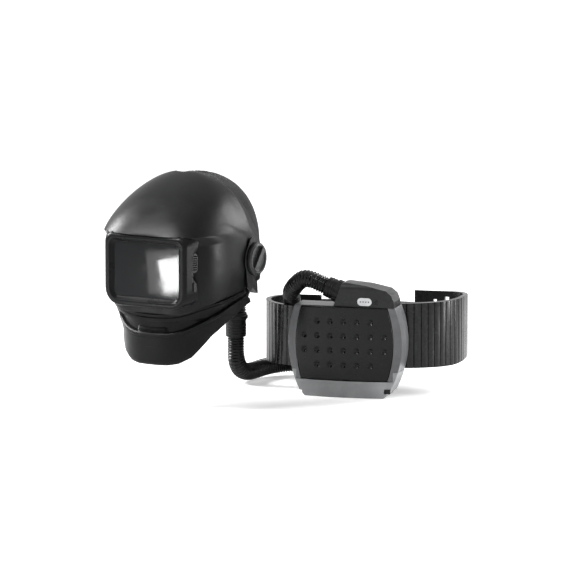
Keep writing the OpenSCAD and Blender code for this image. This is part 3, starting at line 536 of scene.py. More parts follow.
def cleared(owner: bpy.types.Material | bpy.types.World) -> Tree:
    """Gives a material or world an empty shader tree.

    Args:
        owner: the material or world.

    Returns:
        Its tree.
    """
    owner.use_nodes = True
    owner.node_tree.nodes.clear()
    return Tree(owner.node_tree)


class Effect:
    """A shader effect that several finishes share, kept as a node group."""

    title = "effect"
    takes: tuple[str, float] = ("Amount", 0.5)
    gives: tuple[str, ...] = ("Mask",)

    def group(self) -> bpy.types.NodeTree:
        """Builds the group the first time and returns it.

        Returns:
            The group: a vector and one value go in, plain values come out.
        """
        known = bpy.data.node_groups.get(self.title)
        if known:
            return known
        tree = bpy.data.node_groups.new(self.title, "ShaderNodeTree")
        tree.interface.new_socket("Vector", in_out="INPUT", socket_type="NodeSocketVector")
        label, start = self.takes
        tree.interface.new_socket(label, in_out="INPUT",
                                  socket_type="NodeSocketFloat").default_value = start
        for label in self.gives:
            tree.interface.new_socket(label, in_out="OUTPUT", socket_type="NodeSocketFloat")
        vector, amount = tree.nodes.new("NodeGroupInput").outputs[:2]
        drain = tree.nodes.new("NodeGroupOutput")
        inside = Tree(tree)
        for socket, result in zip(drain.inputs, self.wire(inside, vector, amount)):
            inside.feed(socket, result)
        return tree

    def wire(self, tree: Tree, vector: Socket, amount: Socket) -> tuple[Socket, ...]:
        """Joins the group's inside; each effect has its own.

        Args:
            tree: the group's tree.
            vector: the coordinates that the pattern is laid out on.
            amount: the effect's one value, such as its scale or strength.

        Returns:
            The results, in the order of gives.
        """
        raise NotImplementedError

    def place(self, tree: Tree, **values: object) -> Node:
        """Puts the effect into a material, its inputs by name, and returns its node."""
        return tree.add("ShaderNodeGroup", values, node_tree=self.group())


class MouldGrain(Effect):
    """The fine spark texture of a moulding, with slow patches of tone.

    Height is fine noise times cell pits; Tone is a noise some 30 mm wide.
    """

    title = "mould_grain"
    takes = ("Scale", 1200.0)
    gives = ("Height", "Tone")

    def wire(self, tree: Tree, vector: Socket, amount: Socket) -> tuple[Socket, ...]:
        """Joins the noises."""
        fine = tree.noise(vector, amount, 2.0)
        pits = tree.add("ShaderNodeTexVoronoi", {"Vector": vector, "Scale": amount})
        slow = tree.noise(vector, 34.0, 3.0, Roughness=0.55)
        return (tree.sum_up("MULTIPLY", fine, pits.outputs["Distance"]),
                tree.range(slow, 0.3, 0.7))


class EdgeWear(Effect):
    """Rubbed edges: where the surface turns sharply outwards, broken by noise."""

    title = "edge_wear"

    def wire(self, tree: Tree, vector: Socket, amount: Socket) -> tuple[Socket, ...]:
        """Joins pointiness and noise."""
        turn = tree.add("ShaderNodeNewGeometry").outputs["Pointiness"]
        broken = tree.range(tree.noise(vector, 160.0, 4.0), 0.38, 0.68)
        return (tree.product(tree.range(turn, 0.52, 0.60), broken, amount),)


class Scuffs(Effect):
    """Thin scratches and smudges from handling, as stretched noise."""

    title = "scuffs"

    def wire(self, tree: Tree, vector: Socket, amount: Socket) -> tuple[Socket, ...]:
        """Joins one noise stretched sideways with one broad one."""
        turned = tree.add("ShaderNodeMapping", {"Vector": vector, "Rotation": (0.3, 0.5, 0.2),
                                                "Scale": (16.0, 620.0, 620.0)}).outputs[0]
        thin = tree.range(tree.noise(turned, 1.0, 3.0), 0.62, 0.74)
        patch = tree.range(tree.noise(vector, 22.0, 5.0), 0.45, 0.7)
        return (tree.product(thin, patch, amount),)


class Weave(Effect):
    """Plain weave: two sine waves of yarns that take turns on top.

    Height is the larger of the two yarn families' rounded sections; Mask is
    which family lies on top.
    """

    title = "weave"
    takes = ("Scale", 600.0)
    gives = ("Height", "Mask")

    def wire(self, tree: Tree, vector: Socket, amount: Socket) -> tuple[Socket, ...]:
        """Joins two banded waves."""
        scaled = tree.add("ShaderNodeVectorMath", {0: vector, "Scale": amount},
                          operation="SCALE").outputs[0]
        parts = tree.add("ShaderNodeSeparateXYZ", {0: scaled})
        along, across = (tree.sum_up("SINE", tree.sum_up("MULTIPLY", part, math.tau), 0.0)
                         for part in parts.outputs[:2])
        height = tree.sum_up("MAXIMUM", tree.sum_up("ABSOLUTE", along, 0.0),
                             tree.sum_up("ABSOLUTE", across, 0.0))
        return height, tree.range(tree.sum_up("MULTIPLY", along, across), -0.3, 0.3)


class Dust(Effect):
    """Fine pale dust that settles on what faces up."""

    title = "dust"
    takes = ("Amount", 0.2)

    def wire(self, tree: Tree, vector: Socket, amount: Socket) -> tuple[Socket, ...]:
        """Joins the upward part of the normal with a noise."""
        facing = tree.add("ShaderNodeNewGeometry").outputs["Normal"]
        up = tree.add("ShaderNodeSeparateXYZ", {0: facing}).outputs[2]
        return (tree.product(tree.range(up, 0.35, 1.0), tree.noise(vector, 90.0, 6.0), amount),)


def tint(color: Color, share: float = 1.0) -> tuple[float, float, float, float]:
    """A colour times a share, with full alpha, as a socket takes it."""
    return (*(min(part * share, 1.0) for part in color), 1.0)


@dataclass(frozen=True)
class Finish:
    """What every finish has: a name, a colour and how it shines.

    Args:
        name: the material's name.
        color: linear base colour.
        rough: roughness of the plain surface.
        specular: the shader's specular level.
        coordinates: what the pattern is laid out on.
    """

    name: str
    color: Color
    rough: float = 0.45
    specular: float = 0.5
    coordinates: Coordinates = Coordinates.OBJECT

    def material(self) -> bpy.types.Material:
        """Makes the material once and returns it.

        Returns:
            A material whose colour, roughness and bump come from nodes.
        """
        title = f"{self.name}_finish"
        known = bpy.data.materials.get(title)
        if known:
            return known
        made = bpy.data.materials.new(title)
        tree = cleared(made)
        place = tree.add("ShaderNodeTexCoord").outputs[self.coordinates.value]
        shader = tree.add("ShaderNodeBsdfPrincipled")
        shader.inputs["Specular IOR Level"].default_value = self.specular
        shader.inputs["Roughness"].default_value = self.rough
        self.dress(tree, place, shader)
        tree.add("ShaderNodeOutputMaterial", {0: shader.outputs[0]})
        made.diffuse_color = tint(self.color)
        return made

    def dress(self, tree: Tree, place: Socket, shader: Node) -> None:
        """Joins the finish's own nodes to the shader; each kind has its own.

        Args:
            tree: the material's tree.
            place: the coordinates that the pattern is laid out on.
            shader: the shader to feed.
        """
        raise NotImplementedError

    def paint(self, tree: Tree, shader: Node, color: Socket, rough: Socket) -> None:
        """Feeds a colour and a roughness to the shader."""
        tree.feed(shader.inputs["Base Color"], color)
        tree.feed(shader.inputs["Roughness"], rough)

    def uneven(self, tree: Tree, value: Socket, less: float, more: float) -> Socket:
        """Spreads the roughness over a noise, from less to more than the plain one."""
        return tree.range(value, 0.3, 0.7, self.rough - less, self.rough + more)

    def bump(self, tree: Tree, shader: Node, height: Socket, depth: float,
             strength: float = 1.0) -> None:
        """Lifts the surface by a height, through the shader's normal.

        Args:
            tree: the material's tree.
            shader: the shader to feed.
            height: from 0 to 1.
            depth: what 1 stands for, in metres.
            strength: share of the effect.
        """
        node = tree.add("ShaderNodeBump", {"Strength": strength, "Distance": depth,
                                           "Height": height})
        tree.feed(shader.inputs["Normal"], node.outputs[0])

    def put_on(self, piece: Piece) -> Piece:
        """Gives a piece this finish in every slot.

        Args:
            piece: the piece.

        Returns:
            The same piece.
        """
        made = self.material()
        if piece.data.materials:
            for k in range(len(piece.data.materials)):
                piece.data.materials[k] = made
        else:
            piece.data.materials.append(made)
        return piece


@dataclass(frozen=True)
class Moulded(Finish):
    """Injection moulded plastic or rubber with grain, wear, scuffs and dust.

    Args:
        grain: cells a metre in the surface texture.
        depth: depth of the texture in metres.
        wear: how much its edges are rubbed.
        scuff: how much it is scratched.
        dust: how much dust lies on it.
    """

    grain: float = 1300.0
    depth: float = 0.00006
    wear: float = 0.35
    scuff: float = 0.3
    dust: float = 0.06

    def dress(self, tree: Tree, place: Socket, shader: Node) -> None:
        """Mixes tone, wear, scratches and dust into colour and roughness."""
        grain = MouldGrain().place(tree, Vector=place, Scale=self.grain)
        edge = EdgeWear().place(tree, Vector=place, Amount=self.wear).outputs[0]
        marks = Scuffs().place(tree, Vector=place, Amount=self.scuff).outputs[0]
        dust = Dust().place(tree, Vector=place, Amount=self.dust).outputs[0]
        base = tree.blend(grain.outputs[1], tint(self.color, 0.86), tint(self.color, 1.16))
        pale = tint(tuple(part + RUBBED_PALER for part in self.color))
        base = tree.blend(edge, base, pale)
        base = tree.blend(tree.sum_up("MULTIPLY", marks, 0.5), base, pale)
        base = tree.blend(dust, base, tint(DUST_COLOR))
        rough = tree.range(grain.outputs[1], 0.0, 1.0, self.rough - 0.05, self.rough + 0.05)
        rough = tree.sum_up("ADD", rough, tree.sum_up("MULTIPLY", marks, 0.25), clamp=True)
        rough = tree.sum_up("ADD", rough, tree.sum_up("MULTIPLY", dust, 0.5), clamp=True)
        self.paint(tree, shader, base, rough)
        self.bump(tree, shader, grain.outputs[0], self.depth)


@dataclass(frozen=True)
class Woven(Finish):
    """Cloth with a plain weave, fuzz and uneven dye.

    Args:
        yarns: yarn pairs a metre.
        depth: how deep the weave goes, in metres.
        sheen: weight of the soft sheen.
    """

    yarns: float = 700.0
    depth: float = 0.00025
    sheen: float = 0.25

    def dress(self, tree: Tree, place: Socket, shader: Node) -> None:
        """Mixes two yarn tones and a slow stain, and lifts the yarns."""
        weave = Weave().place(tree, Vector=place, Scale=self.yarns)
        slow = tree.noise(place, 26.0, 5.0)
        base = tree.blend(weave.outputs[1], tint(self.color, 0.75), tint(self.color, 1.3))
        base = tree.blend(tree.range(slow, 0.35, 0.75, 0.0, 0.5), base, tint(self.color, 0.55))
        self.paint(tree, shader, base, self.uneven(tree, slow, 0.06, 0.06))
        shader.inputs["Sheen Weight"].default_value = self.sheen
        shader.inputs["Sheen Roughness"].default_value = 0.5
        self.bump(tree, shader, weave.outputs[0], self.depth, 0.8)


@dataclass(frozen=True)
class Felted(Finish):
    """Foam, felt or pleated paper: open cells over soft tone.

    Args:
        cells: cells a metre.
        depth: their depth in metres.
        pleats: pleats a metre, or 0 for none.
    """

    cells: float = 900.0
    depth: float = 0.0004
    pleats: float = 0.0

    def dress(self, tree: Tree, place: Socket, shader: Node) -> None:
        """Darkens the cells, and adds the pleats' waves where there are any."""
        cell = tree.add("ShaderNodeTexVoronoi", {"Vector": place, "Scale": self.cells})
        fuzz = tree.noise(place, 60.0, 6.0)
        height = cell.outputs["Distance"]
        if self.pleats > 0:
            wave = tree.add("ShaderNodeTexWave", {"Vector": place, "Scale": self.pleats / 20,
                                                  "Distortion": 0.4})
            height = tree.sum_up("ADD", height, tree.sum_up("MULTIPLY", wave.outputs[1], 4.0))
        base = tree.blend(cell.outputs["Distance"], tint(self.color, 0.72), tint(self.color, 1.1))
        base = tree.blend(tree.range(fuzz, 0.4, 0.7, 0.0, 0.35), base, tint(self.color, 0.6))
        self.paint(tree, shader, base, self.uneven(tree, fuzz, 0.05, 0.05))
        shader.inputs["Sheen Weight"].default_value = 0.15
        self.bump(tree, shader, height, self.depth)


@dataclass(frozen=True)
class Metal(Finish):
    """Drawn or turned metal with brush lines and dull patches.

    Args:
        lines: brush lines a metre.
    """

    lines: float = 3000.0

    def dress(self, tree: Tree, place: Socket, shader: Node) -> None:
        """Varies roughness and colour along the brush lines."""
        drawn = tree.add("ShaderNodeMapping", {"Vector": place, "Scale": (self.lines, 60.0,
                                                                          self.lines)})
        brush = tree.noise(drawn.outputs[0], 1.0, 3.0)
        dull = tree.noise(place, 48.0, 5.0)
        edge = EdgeWear().place(tree, Vector=place, Amount=0.6).outputs[0]
        base = tree.blend(tree.range(dull, 0.35, 0.7), tint(self.color, 1.08),
                          tint(self.color, 0.7))
        base = tree.blend(edge, base, tint(self.color, 1.35))
        self.paint(tree, shader, base, self.uneven(tree, brush, 0.1, 0.12))
        shader.inputs["Metallic"].default_value = 1.0
        self.bump(tree, shader, brush, BRUSH_DEPTH)


@dataclass(frozen=True)
class Clear(Finish):
    """Clear or smoked plastic and glass, with wiping marks.

    Args:
        through: how much light passes, as transmission weight.
        ior: index of refraction.
    """

    through: float = 1.0
    ior: float = 1.5

    def dress(self, tree: Tree, place: Socket, shader: Node) -> None:
        """Sets the glass plainly and roughens it a little where it was wiped."""
        smear = tree.noise(place, 38.0, 5.0)
        marks = Scuffs().place(tree, Vector=place, Amount=0.5).outputs[0]
        rough = tree.range(smear, 0.4, 0.75, self.rough, self.rough + 0.05)
        rough = tree.sum_up("ADD", rough, tree.sum_up("MULTIPLY", marks, 0.12), clamp=True)
        base = tree.blend(tree.range(smear, 0.3, 0.8), tint(self.color), tint(self.color, 0.88))
        self.paint(tree, shader, base, rough)
        shader.inputs["Transmission Weight"].default_value = self.through
        shader.inputs["IOR"].default_value = self.ior


@dataclass(frozen=True)
class Board(Finish):
    """A circuit board under solder resist, with copper runs in relief."""

    def dress(self, tree: Tree, place: Socket, shader: Node) -> None:
        """Draws square runs as cells measured along the axes."""
        cell = tree.add("ShaderNodeTexVoronoi", {"Vector": place, "Scale": 260.0},
                        distance="CHEBYCHEV")
        runs = tree.range(cell.outputs["Distance"], 0.28, 0.34)
        base = tree.blend(runs, tint(self.color, 0.8), tint(self.color, 1.9))
        rough = tree.range(runs, 0.0, 1.0, self.rough, self.rough + 0.15)
        self.paint(tree, shader, base, rough)
        self.bump(tree, shader, runs, RUN_DEPTH)


@dataclass(frozen=True)
class Lamp(Finish):
    """A lit indicator behind a milky lens.

    Args:
        glow: strength of the light it gives.
    """

    glow: float = 0.9

    def dress(self, tree: Tree, place: Socket, shader: Node) -> None:
        """Lets the glow fall off unevenly, as through a milky lens."""
        milky = tree.noise(place, 900.0, 2.0)
        color = tree.blend(tree.range(milky, 0.3, 0.7), tint(self.color), tint(self.color, 0.75))
        self.paint(tree, shader, color, self.uneven(tree, milky, 0.0, 0.1))
        tree.feed(shader.inputs["Emission Color"], color)
        shader.inputs["Emission Strength"].default_value = self.glow


# ---------------------------------------------------------------- finishes

FINISHES: dict[str, Finish] = {
    "shield_black": Moulded("satin_shield", (0.0025, 0.0026, 0.0029), 0.36, 0.15, depth=0.00003,
                            scuff=0.5, wear=0.12, dust=0.004),
    "bezel_black": Moulded("satin_bezel", SATIN_BLACK, 0.3, 0.1, depth=0.00003,
                           scuff=0.35, wear=0.2, dust=0.006),
    "cover_clear": Clear("smoked_cover", (0.012, 0.013, 0.014), 0.03, 0.5, through=0.3, ior=1.22),
    "cassette_black": Moulded("cassette_plastic", (0.006, 0.006, 0.0066), 0.5, 0.1, dust=0.0),
    "filter_glass": Moulded("coated_filter_glass", (0.003, 0.006, 0.005), 0.06, 0.1,
                            depth=0.000004, wear=0.0, scuff=0.2, dust=0.0),
    "spring_steel": Metal("brushed_spring", (0.55, 0.56, 0.58), 0.35),
    "trim_grey": Moulded("trim_plastic", (0.012, 0.0122, 0.013), 0.36, 0.15),
    "knob_black": Moulded("knob_plastic", (0.022, 0.0224, 0.0235), 0.3, 0.3, wear=0.7,
                          scuff=0.5),
    "steel": Metal("turned_steel", (0.62, 0.63, 0.65), 0.3),
    "harness_black": Moulded("harness_plastic", (0.025, 0.026, 0.03), 0.5, grain=900),
    "visor_clear": Clear("clear_visor", (0.86, 0.90, 0.92), 0.02, 0.5),
    "seal_cloth": Woven("knitted_seal", (0.03, 0.031, 0.036), 0.85,
                        coordinates=Coordinates.UV, yarns=420),
    "jaw_black": Moulded("satin_jaw", SATIN_BLACK, 0.36, 0.08, depth=0.00004,
                         scuff=0.4, wear=0.15, dust=0.006),
    "filter_mesh": Felted("filter_felt", (0.3, 0.31, 0.32), 0.9),
    "cover_cloth": Woven("woven_crown_cloth", (0.010, 0.0102, 0.0112), 0.8, 0.15,
                         coordinates=Coordinates.UV, yarns=520, depth=0.0004, sheen=0.1),
    "foam_grey": Felted("foam_pad", (0.10, 0.104, 0.115), 0.95, cells=700),
    "duct_black": Moulded("duct_plastic", SATIN_BLACK, 0.38, 0.1, dust=0.01),
    "hose_rubber": Moulded("hose_rubber", SATIN_BLACK, 0.28, 0.2, grain=1600,
                           depth=0.00003, wear=0.3, scuff=0.15, dust=0.006),
    "cuff_black": Moulded("cuff_rubber", (0.006, 0.0061, 0.0066), 0.4, 0.15, dust=0.01),
    "housing_grey": Moulded("housing_grey", (0.11, 0.112, 0.116), 0.34, 0.35, depth=0.00006,
                            scuff=0.35, wear=0.3, dust=0.02),
    # painted shade: the hump is the same grey moulding as the housing, painted near black for the
    # shade on its front
    "hump_painted_shade": Moulded("hump_painted_shade_plastic", (0.014, 0.0143, 0.015), 0.34, 0.2, depth=0.00005,
                          scuff=0.3, wear=0.25, dust=0.01),
    "cover_black": Moulded("panel_black", (0.003, 0.0031, 0.0034), 0.24, 0.2, depth=0.00001,
                           scuff=0.35, wear=0.2, dust=0.004),
    "filter_white": Felted("pleated_paper", (0.78, 0.78, 0.74), 0.9, pleats=260),
    "gasket": Moulded("soft_gasket", (0.05, 0.05, 0.054), 0.7),
    "impeller_white": Moulded("impeller_plastic", (0.62, 0.63, 0.62), 0.4),
    "motor_metal": Metal("turned_aluminium", (0.5, 0.51, 0.53), 0.38),
    "board_green": Board("circuit_board", (0.03, 0.11, 0.06), 0.35),
    "window_black": Moulded("window_plastic", (0.62, 0.63, 0.64), 0.2, 0.5, depth=0.00001,
                            wear=0.0, scuff=0.1, dust=0.0),
    "lamp_green": Lamp("indicator_lamp", (0.03, 0.05, 0.04), 0.25, glow=0.2),
    # partly painted light: the battery case is black plastic, and its mid grey also stands in for
    # the light that its front catches
    "battery_grey": Moulded("battery_grey", (0.27, 0.275, 0.28), 0.42, 0.4, depth=0.00006,
                            scuff=0.4, wear=0.3, dust=0.04),
    "cell_blue": Moulded("cell_sleeve", (0.05, 0.14, 0.32), 0.35),
    "belt_grey": Moulded("belt_grey", (0.008, 0.0082, 0.0087), 0.24, 0.25, grain=900,
                         depth=0.00004, wear=0.3, scuff=0.3, dust=0.006),
    "webbing": Woven("belt_webbing", (0.02, 0.02, 0.022), 0.7, coordinates=Coordinates.UV,
                     yarns=560, depth=0.0004, sheen=0.2),
}


def node_slots() -> dict[str, str]:
    """The material slot of every node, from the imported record."""
    return {part["node"]: part["material_slot"] for part in FRAME["record"]["subparts"]}


# ---------------------------------------------------------------- assemblies


@dataclass
class SubAssembly:
    """A group of pieces that are built and dressed together.

    Args:
        title: what the group is called in the log.
        made: names of the pieces made so far.
    """

    title: str = "part"
    made: list[str] = field(default_factory=list)

    def build(self) -> None:
        """Makes the group's pieces; each group has its own."""
        raise NotImplementedError

    def place(self, piece: Piece, body: str, nodes: tuple[str, ...], slot: str,
              finish: str | None = None) -> Piece:
        """Dresses a piece, hangs it on its body and lets it stand for nodes.

        Args:
            piece: the finished piece.
            body: the body it rides on.
            nodes: the nodes it stands for.
            slot: the record's slot it belongs to.
            finish: another finish than the slot's own.

        Returns:
            The same piece.
        """
        FINISHES[finish or slot].put_on(piece)
        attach(piece, body)
        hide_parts(*nodes)
        self.made.append(piece.name)
        return piece

    def mould(self, body: str, widths: dict[str, float], sharp: float = 28.0,
              finish: str | None = None) -> None:
        """Replaces rigid nodes by copies with rounded edges.

        Args:
            body: the body they ride on.
            widths: width of the rounding in millimetres, by node.
            sharp: degrees above which an edge is rounded.
            finish: another finish than the slots' own.
        """
        slots = node_slots()
        for node, width in widths.items():
            self.place(moulded_copy(node, width, sharp), body, (node,), slots[node], finish)

    def report(self) -> None:
        """Names the group's pieces in the log."""
        LOG.info("%s: %s", self.title, ", ".join(self.made))


@dataclass
class BreathingHose(SubAssembly):
    """The ribbed tube from the helmet's cuff to the blower's cuff.

    Args:
        route: places its centre line goes through.
        diameter: over the ribs.
        pitch: from rib to rib.
        depth: of the grooves.
    """

    title: str = "hose"
    route: tuple[tuple[float, float, float], ...] = (
        (0, 150, -172.4), (0, 150, -188.4), (0, 150, -204.4), (0, 154, -221), (0, 166, -235),
        (0, 187, -243), (0, 212, -245), (4, 240, -243), (14, 262, -241), (28, 278, -240),
        (46, 286, -238), (64, 281, -233), (79, 268, -223), (87, 248, -207), (89, 228, -185),
        (87, 214, -160), (86, 210, -135), (86, 206, -112), (92, 193, -95), (104, 173, -84),
        (118, 155, -75), (132, 142, -65), (148, 138, -54), (164.24, 138.38, -53.36),
        (178.67, 142.25, -59.09), (193.10, 146.11, -64.82))
    diameter: float = 32.0
    pitch: float = 4.8
    depth: float = 2.0

    def build(self) -> None:
        curve = spline(np.array(self.route, float), 24)
        path, points = ribbed(curve, self.diameter / 2, self.depth, self.pitch, 7, 1.4, 28)
        hose = grid_piece("breathing_hose_tube", points, round_cols=True, closed=True, sharp=80)
        self.place(hose, "fixed", ("breathing_hose",), "hose_rubber")
        self.mould("fixed", {"hose_cuff_helmet": 0.5, "hose_cuff_blower": 0.5})


@dataclass
class FlipShield(SubAssembly):
    """The flip-up shell with its raised window box, lens stack and pivots.

    Args:
        crown: height at which the shell's slices have shrunk to nothing.
        top: height of its last slice.
        wall: its thickness.
        half_width: at the pivots.
        chin_reach: how far ahead its front stands below the window.
        brow: height at which the front starts to lean back.
        pole: how far ahead of the pivots the crown's top lies.
        rise: how much farther the leaning front would reach at the pivots' height.
        columns: points from cheek to cheek.
        rows: points from chin to crown.
        box_back: depth of the window box's rear where it is widest.
        box_slope: depth of the box's sloping sides, whole.
        box_sides: share of that slope that is left below the rounded front edge.
        back_radius: of the curve that the box's rear follows in height.
        box_width: width of the box's front.
        box_low: lowest z of its front.
        box_high: highest z of its front.
        edge: radius of its rounded front edge.
    """

    title: str = "shield"
    crown: float = 154.0
    top: float = 152.5
    wall: float = 2.5
    half_width: float = 125.0
    chin_reach: float = 150.0
    brow: float = 55.0
    pole: float = 26.0
    rise: float = 165.0
    columns: int = 221
    rows: int = 141
    box_back: float = 135.5
    box_slope: float = 36.0
    box_sides: float = 0.87
    back_radius: float = 151.0
    box_width: float = 166.0
    box_low: float = -76.0
    box_high: float = 53.0
    edge: float = 5.0

    def lean(self, up: float | Array) -> float | Array:
        """Reach of the front over the brow, by share of the crown's height."""
        return self.pole + self.rise * np.clip(1 - up ** 2, 0, 1) ** (1 / 1.2)

    def outer(self, angle: Array, z: Array) -> Array:
        """Points of the outer face: level slices that narrow to the crown.

        Half width shrinks as the root of 1 minus height to 2.6; the front
        leans back over the brow as an ellipse; the slice goes from square to
        round towards the crown; the rear edge runs forward as it rises.

        Args:
            angle: degrees from straight ahead.
            z: heights.

        Returns:
            The points.
        """
        up = np.clip(z / self.crown, 0, 1)
        half = np.where(z > 0, self.half_width * np.sqrt(np.clip(1 - up ** 2.6, 0, 1)),
                        self.half_width - 7 * (z / 60) ** 2)
        share = np.clip((z - self.brow) / 15 + 1, 0, 1)
        front = np.where(z > self.brow, self.lean(up), self.chin_reach
                         + (self.lean(self.brow / self.crown) - self.chin_reach) * share)
        rear = table(z, [(-60, 25), (0, 32), (38, 22), (67, 6), (105, -5), (134, -15),
                         (154, -26)])
        power = np.where(z < 40, 4.3, 4.3 - 2.1 * (z - 40) / 114)
        return section(half, front, rear, power, angle, z)

    def shell(self) -> None:
        """Makes the shell, sunk a little in the cheeks below a soft crease.

        The cheek goes in by a little below a line that rises from the window
        box and falls to the pivot. Cells inside the window box are left out.
        """
        angle = np.linspace(-90, 90, self.columns)[None, :]
        share = np.sin(np.linspace(0, np.pi / 2, self.rows))[:, None]
        low = table(np.abs(angle), SEAM)
        z = low + (self.top - low) * share
        points = self.outer(angle, z)
        crease = table(np.abs(angle), [(0, 60), (40, 61), (55, 66), (66, 72), (74, 72),
                                       (80, 66), (85, 56), (90, 40)])
        sunk = 0.6 * (1 - ease(z, crease - 4, crease + 4)) * ease(np.abs(angle), 38, 56)
        sunk = sunk * ease(z, low, low + 22)
        points[..., 0] -= np.sign(points[..., 0]) * sunk * ease(np.abs(angle), 50, 80)
        points[..., 1] += sunk * (1 - ease(np.abs(angle), 60, 84))
        middle = points[:-1, :-1]
        window = (np.abs(middle[..., 0]) < 81) & (np.abs(middle[..., 2] + 10.5) < 56.5)
        window &= middle[..., 1] < -60
        shell = grid_piece("shield_shell_form", points, keep=~window, sharp=40)
        thicken(shell, self.wall)
        self.place(shell, "shield", ("shield_shell",), "shield_black")

    def window_box(self) -> None:
        """Makes the raised box round the lens as one closed ring of loops.

        Outer loops blend from the wide back to the narrow front along the
        slope, roll over the front edge, run in over the rim, down the
        funnel and back through the lens pocket. A long oval is sunk in the
        rear of each side.
        """
        wide = rounded_loop(198, -70, 74, 24, low_radius=32)[0]
        slim = rounded_loop(self.box_width, self.box_low, self.box_high, 16, low_radius=31)[0]
        back = np.maximum(self.box_back, np.sqrt(self.back_radius ** 2 - wide[:, 1] ** 2))
        start = (back - self.box_back) / self.box_slope
        share = start + (self.box_sides - start) * np.linspace(0, 1, 26)[:, None]
        outer = at_depth(wide + (slim - wide) * share[..., None],
                         -self.box_back - self.box_slope * share)
        oval = ((outer[..., 2] - 1) / 29) ** 2 + ((outer[..., 1] + 147.5) / 9.5) ** 2
        sunk = 4.0 * (1 - ease(oval, 0.5, 1.1)) * (np.abs(outer[..., 0]) > 82)
        outer[..., 0] -= np.sign(outer[..., 0]) * sunk
        turn = np.linspace(0, np.pi / 2, 8)[1:, None]
        inset = self.edge * (1 - np.cos(turn[:, 0]))
        edge = rounded_loop(self.box_width - 2 * inset, self.box_low + inset,
                            self.box_high - inset, 16 - inset * 0.7,
                            low_radius=31 - inset * 0.9)
        edge = edge + (outer[-1][:, [0, 2]] - slim) * (1 - np.sin(turn))[..., None]
        edge = at_depth(edge, -self.box_back - self.box_slope * self.box_sides
                        - 4.9 * np.sin(turn))
        funnel = rounded_loop([149, 147.4, 146.4, 136, 134.4, 134, 134, 144, 144],
                              [-65.5, -64.7, -64.2, -59, -58.2, -58, -58, -63, -63],
                              [46.5, 45.9, 45.4, 41, 40.2, 40, 40, 45, 45],
                              [12.5, 12, 11.6, 8.6, 8.2, 8, 8, 6, 6],
                              low_radius=[21, 20.4, 19.6, 10, 8.6, 8, 8, 6, 6])
        depth = np.array([-171.7, -171.3, -170.4, -166.4, -165.8, -165.2, -165.0, -165.0, -141])
        points = np.concatenate([outer, edge, at_depth(funnel, depth[:, None])])
        points[-1, :, 1] = -np.sqrt(self.back_radius ** 2 - points[-1, :, 2] ** 2)
        box = grid_piece("visor_bezel_form", points, round_rows=True, round_cols=True,
                         closed=True, sharp=42)
        self.place(box, "shield", ("visor_bezel",), "bezel_black")

    def build(self) -> None:
        """Makes the shell and the box, and rounds the small parts."""
        self.shell()
        self.window_box()
        self.mould("shield", {"pivot_plates": 0.8, "side_vents": 0.4, "filter_cassette": 0.6})
        self.mould("mode_button", {"mode_button": 0.5})
        for side in ("left", "right"):
            self.mould(f"knob_{side}", {f"pivot_knob_{side}": 0.9})


@dataclass
class JawGuard(SubAssembly):
    """The fixed guard below the window, with a louvred band over its outlet.

    Args:
        drop: depth of its lowest point.
        wall: its thickness.
        slats: number of louvres in the band.
        lip: height of the lip behind the shield.
        band: where the louvres start and end, as shares of the way down.
    """

    title: str = "jaw guard"
    drop: float = 181.0
    wall: float = 2.5
    slats: int = 5
    lip: float = 9.0
    band: tuple[float, float] = (0.245, 0.36)

    def build(self) -> None:
        """Makes the guard from level slices with a profile laid on each.

        The profile stands out at two beads and sinks 5 mm in the band
        between them, where a saw tooth of slats shows over the outlet. A lip
        steps back at the top and stands up behind the shield's lower edge.
        """
        angle = np.linspace(-86.5, 86.5, 201)[None, :]
        v = np.concatenate([np.linspace(1, 0.45, 16), np.linspace(0.444, 0.035, 118),
                            np.linspace(0.03, 0, 4), [0, 0]])[:, None]
        lip = np.concatenate([np.zeros(len(v) - 2), [1, 1]])[:, None]
        drop_share = table(np.abs(angle), [(0, 1), (12, .998), (22, .98), (34, .92), (44, .815),
                                           (52, .725), (58, .665), (64, .60), (70, .545),
                                           (77, .49), (83, .45), (88, .425)])
        top = table(np.abs(angle), SEAM) - 3
        z = top + (-self.drop * drop_share - top) * v
        z[-1] += self.lip
        out = table(v, [(0, 0), (.042, 0), (.05, 1.5), (.085, 1.5), (.095, -5), (.375, -5),
                        (.385, 1.5), (.42, 1.5), (.435, 0), (1, 0)])
        high, low = self.band
        saw = np.clip((v - high) / (low - high), 0, 1) * self.slats
        slat = (saw % 1.0) * ((v > high) & (v < low))
        out = out + 2.2 * slat * (1 - ease(np.abs(angle), 10, 12)) - 4.2 * lip
        width = table(z, [(-181, 104.5), (-160, 106.5), (-128, 107.5), (-94, 118.5),
                          (-60, 118)])
        front = table(z, [(-181, 146), (-128, 148), (-94, 149), (-60, 150)])
        roll = 1.6 * ease(v, 0.97, 1.0)
        power = table(z, [(-100, 2.5), (-72, 3.2), (-60, 4.3)])
        points = section(width + out - roll, front + out - roll, 25.0, power, angle, z)
        guard = grid_piece("jaw_guard_form", points, flip=True, sharp=38)
        thicken(guard, self.wall)
        self.place(guard, "fixed", ("jaw_guard",), "jaw_black")


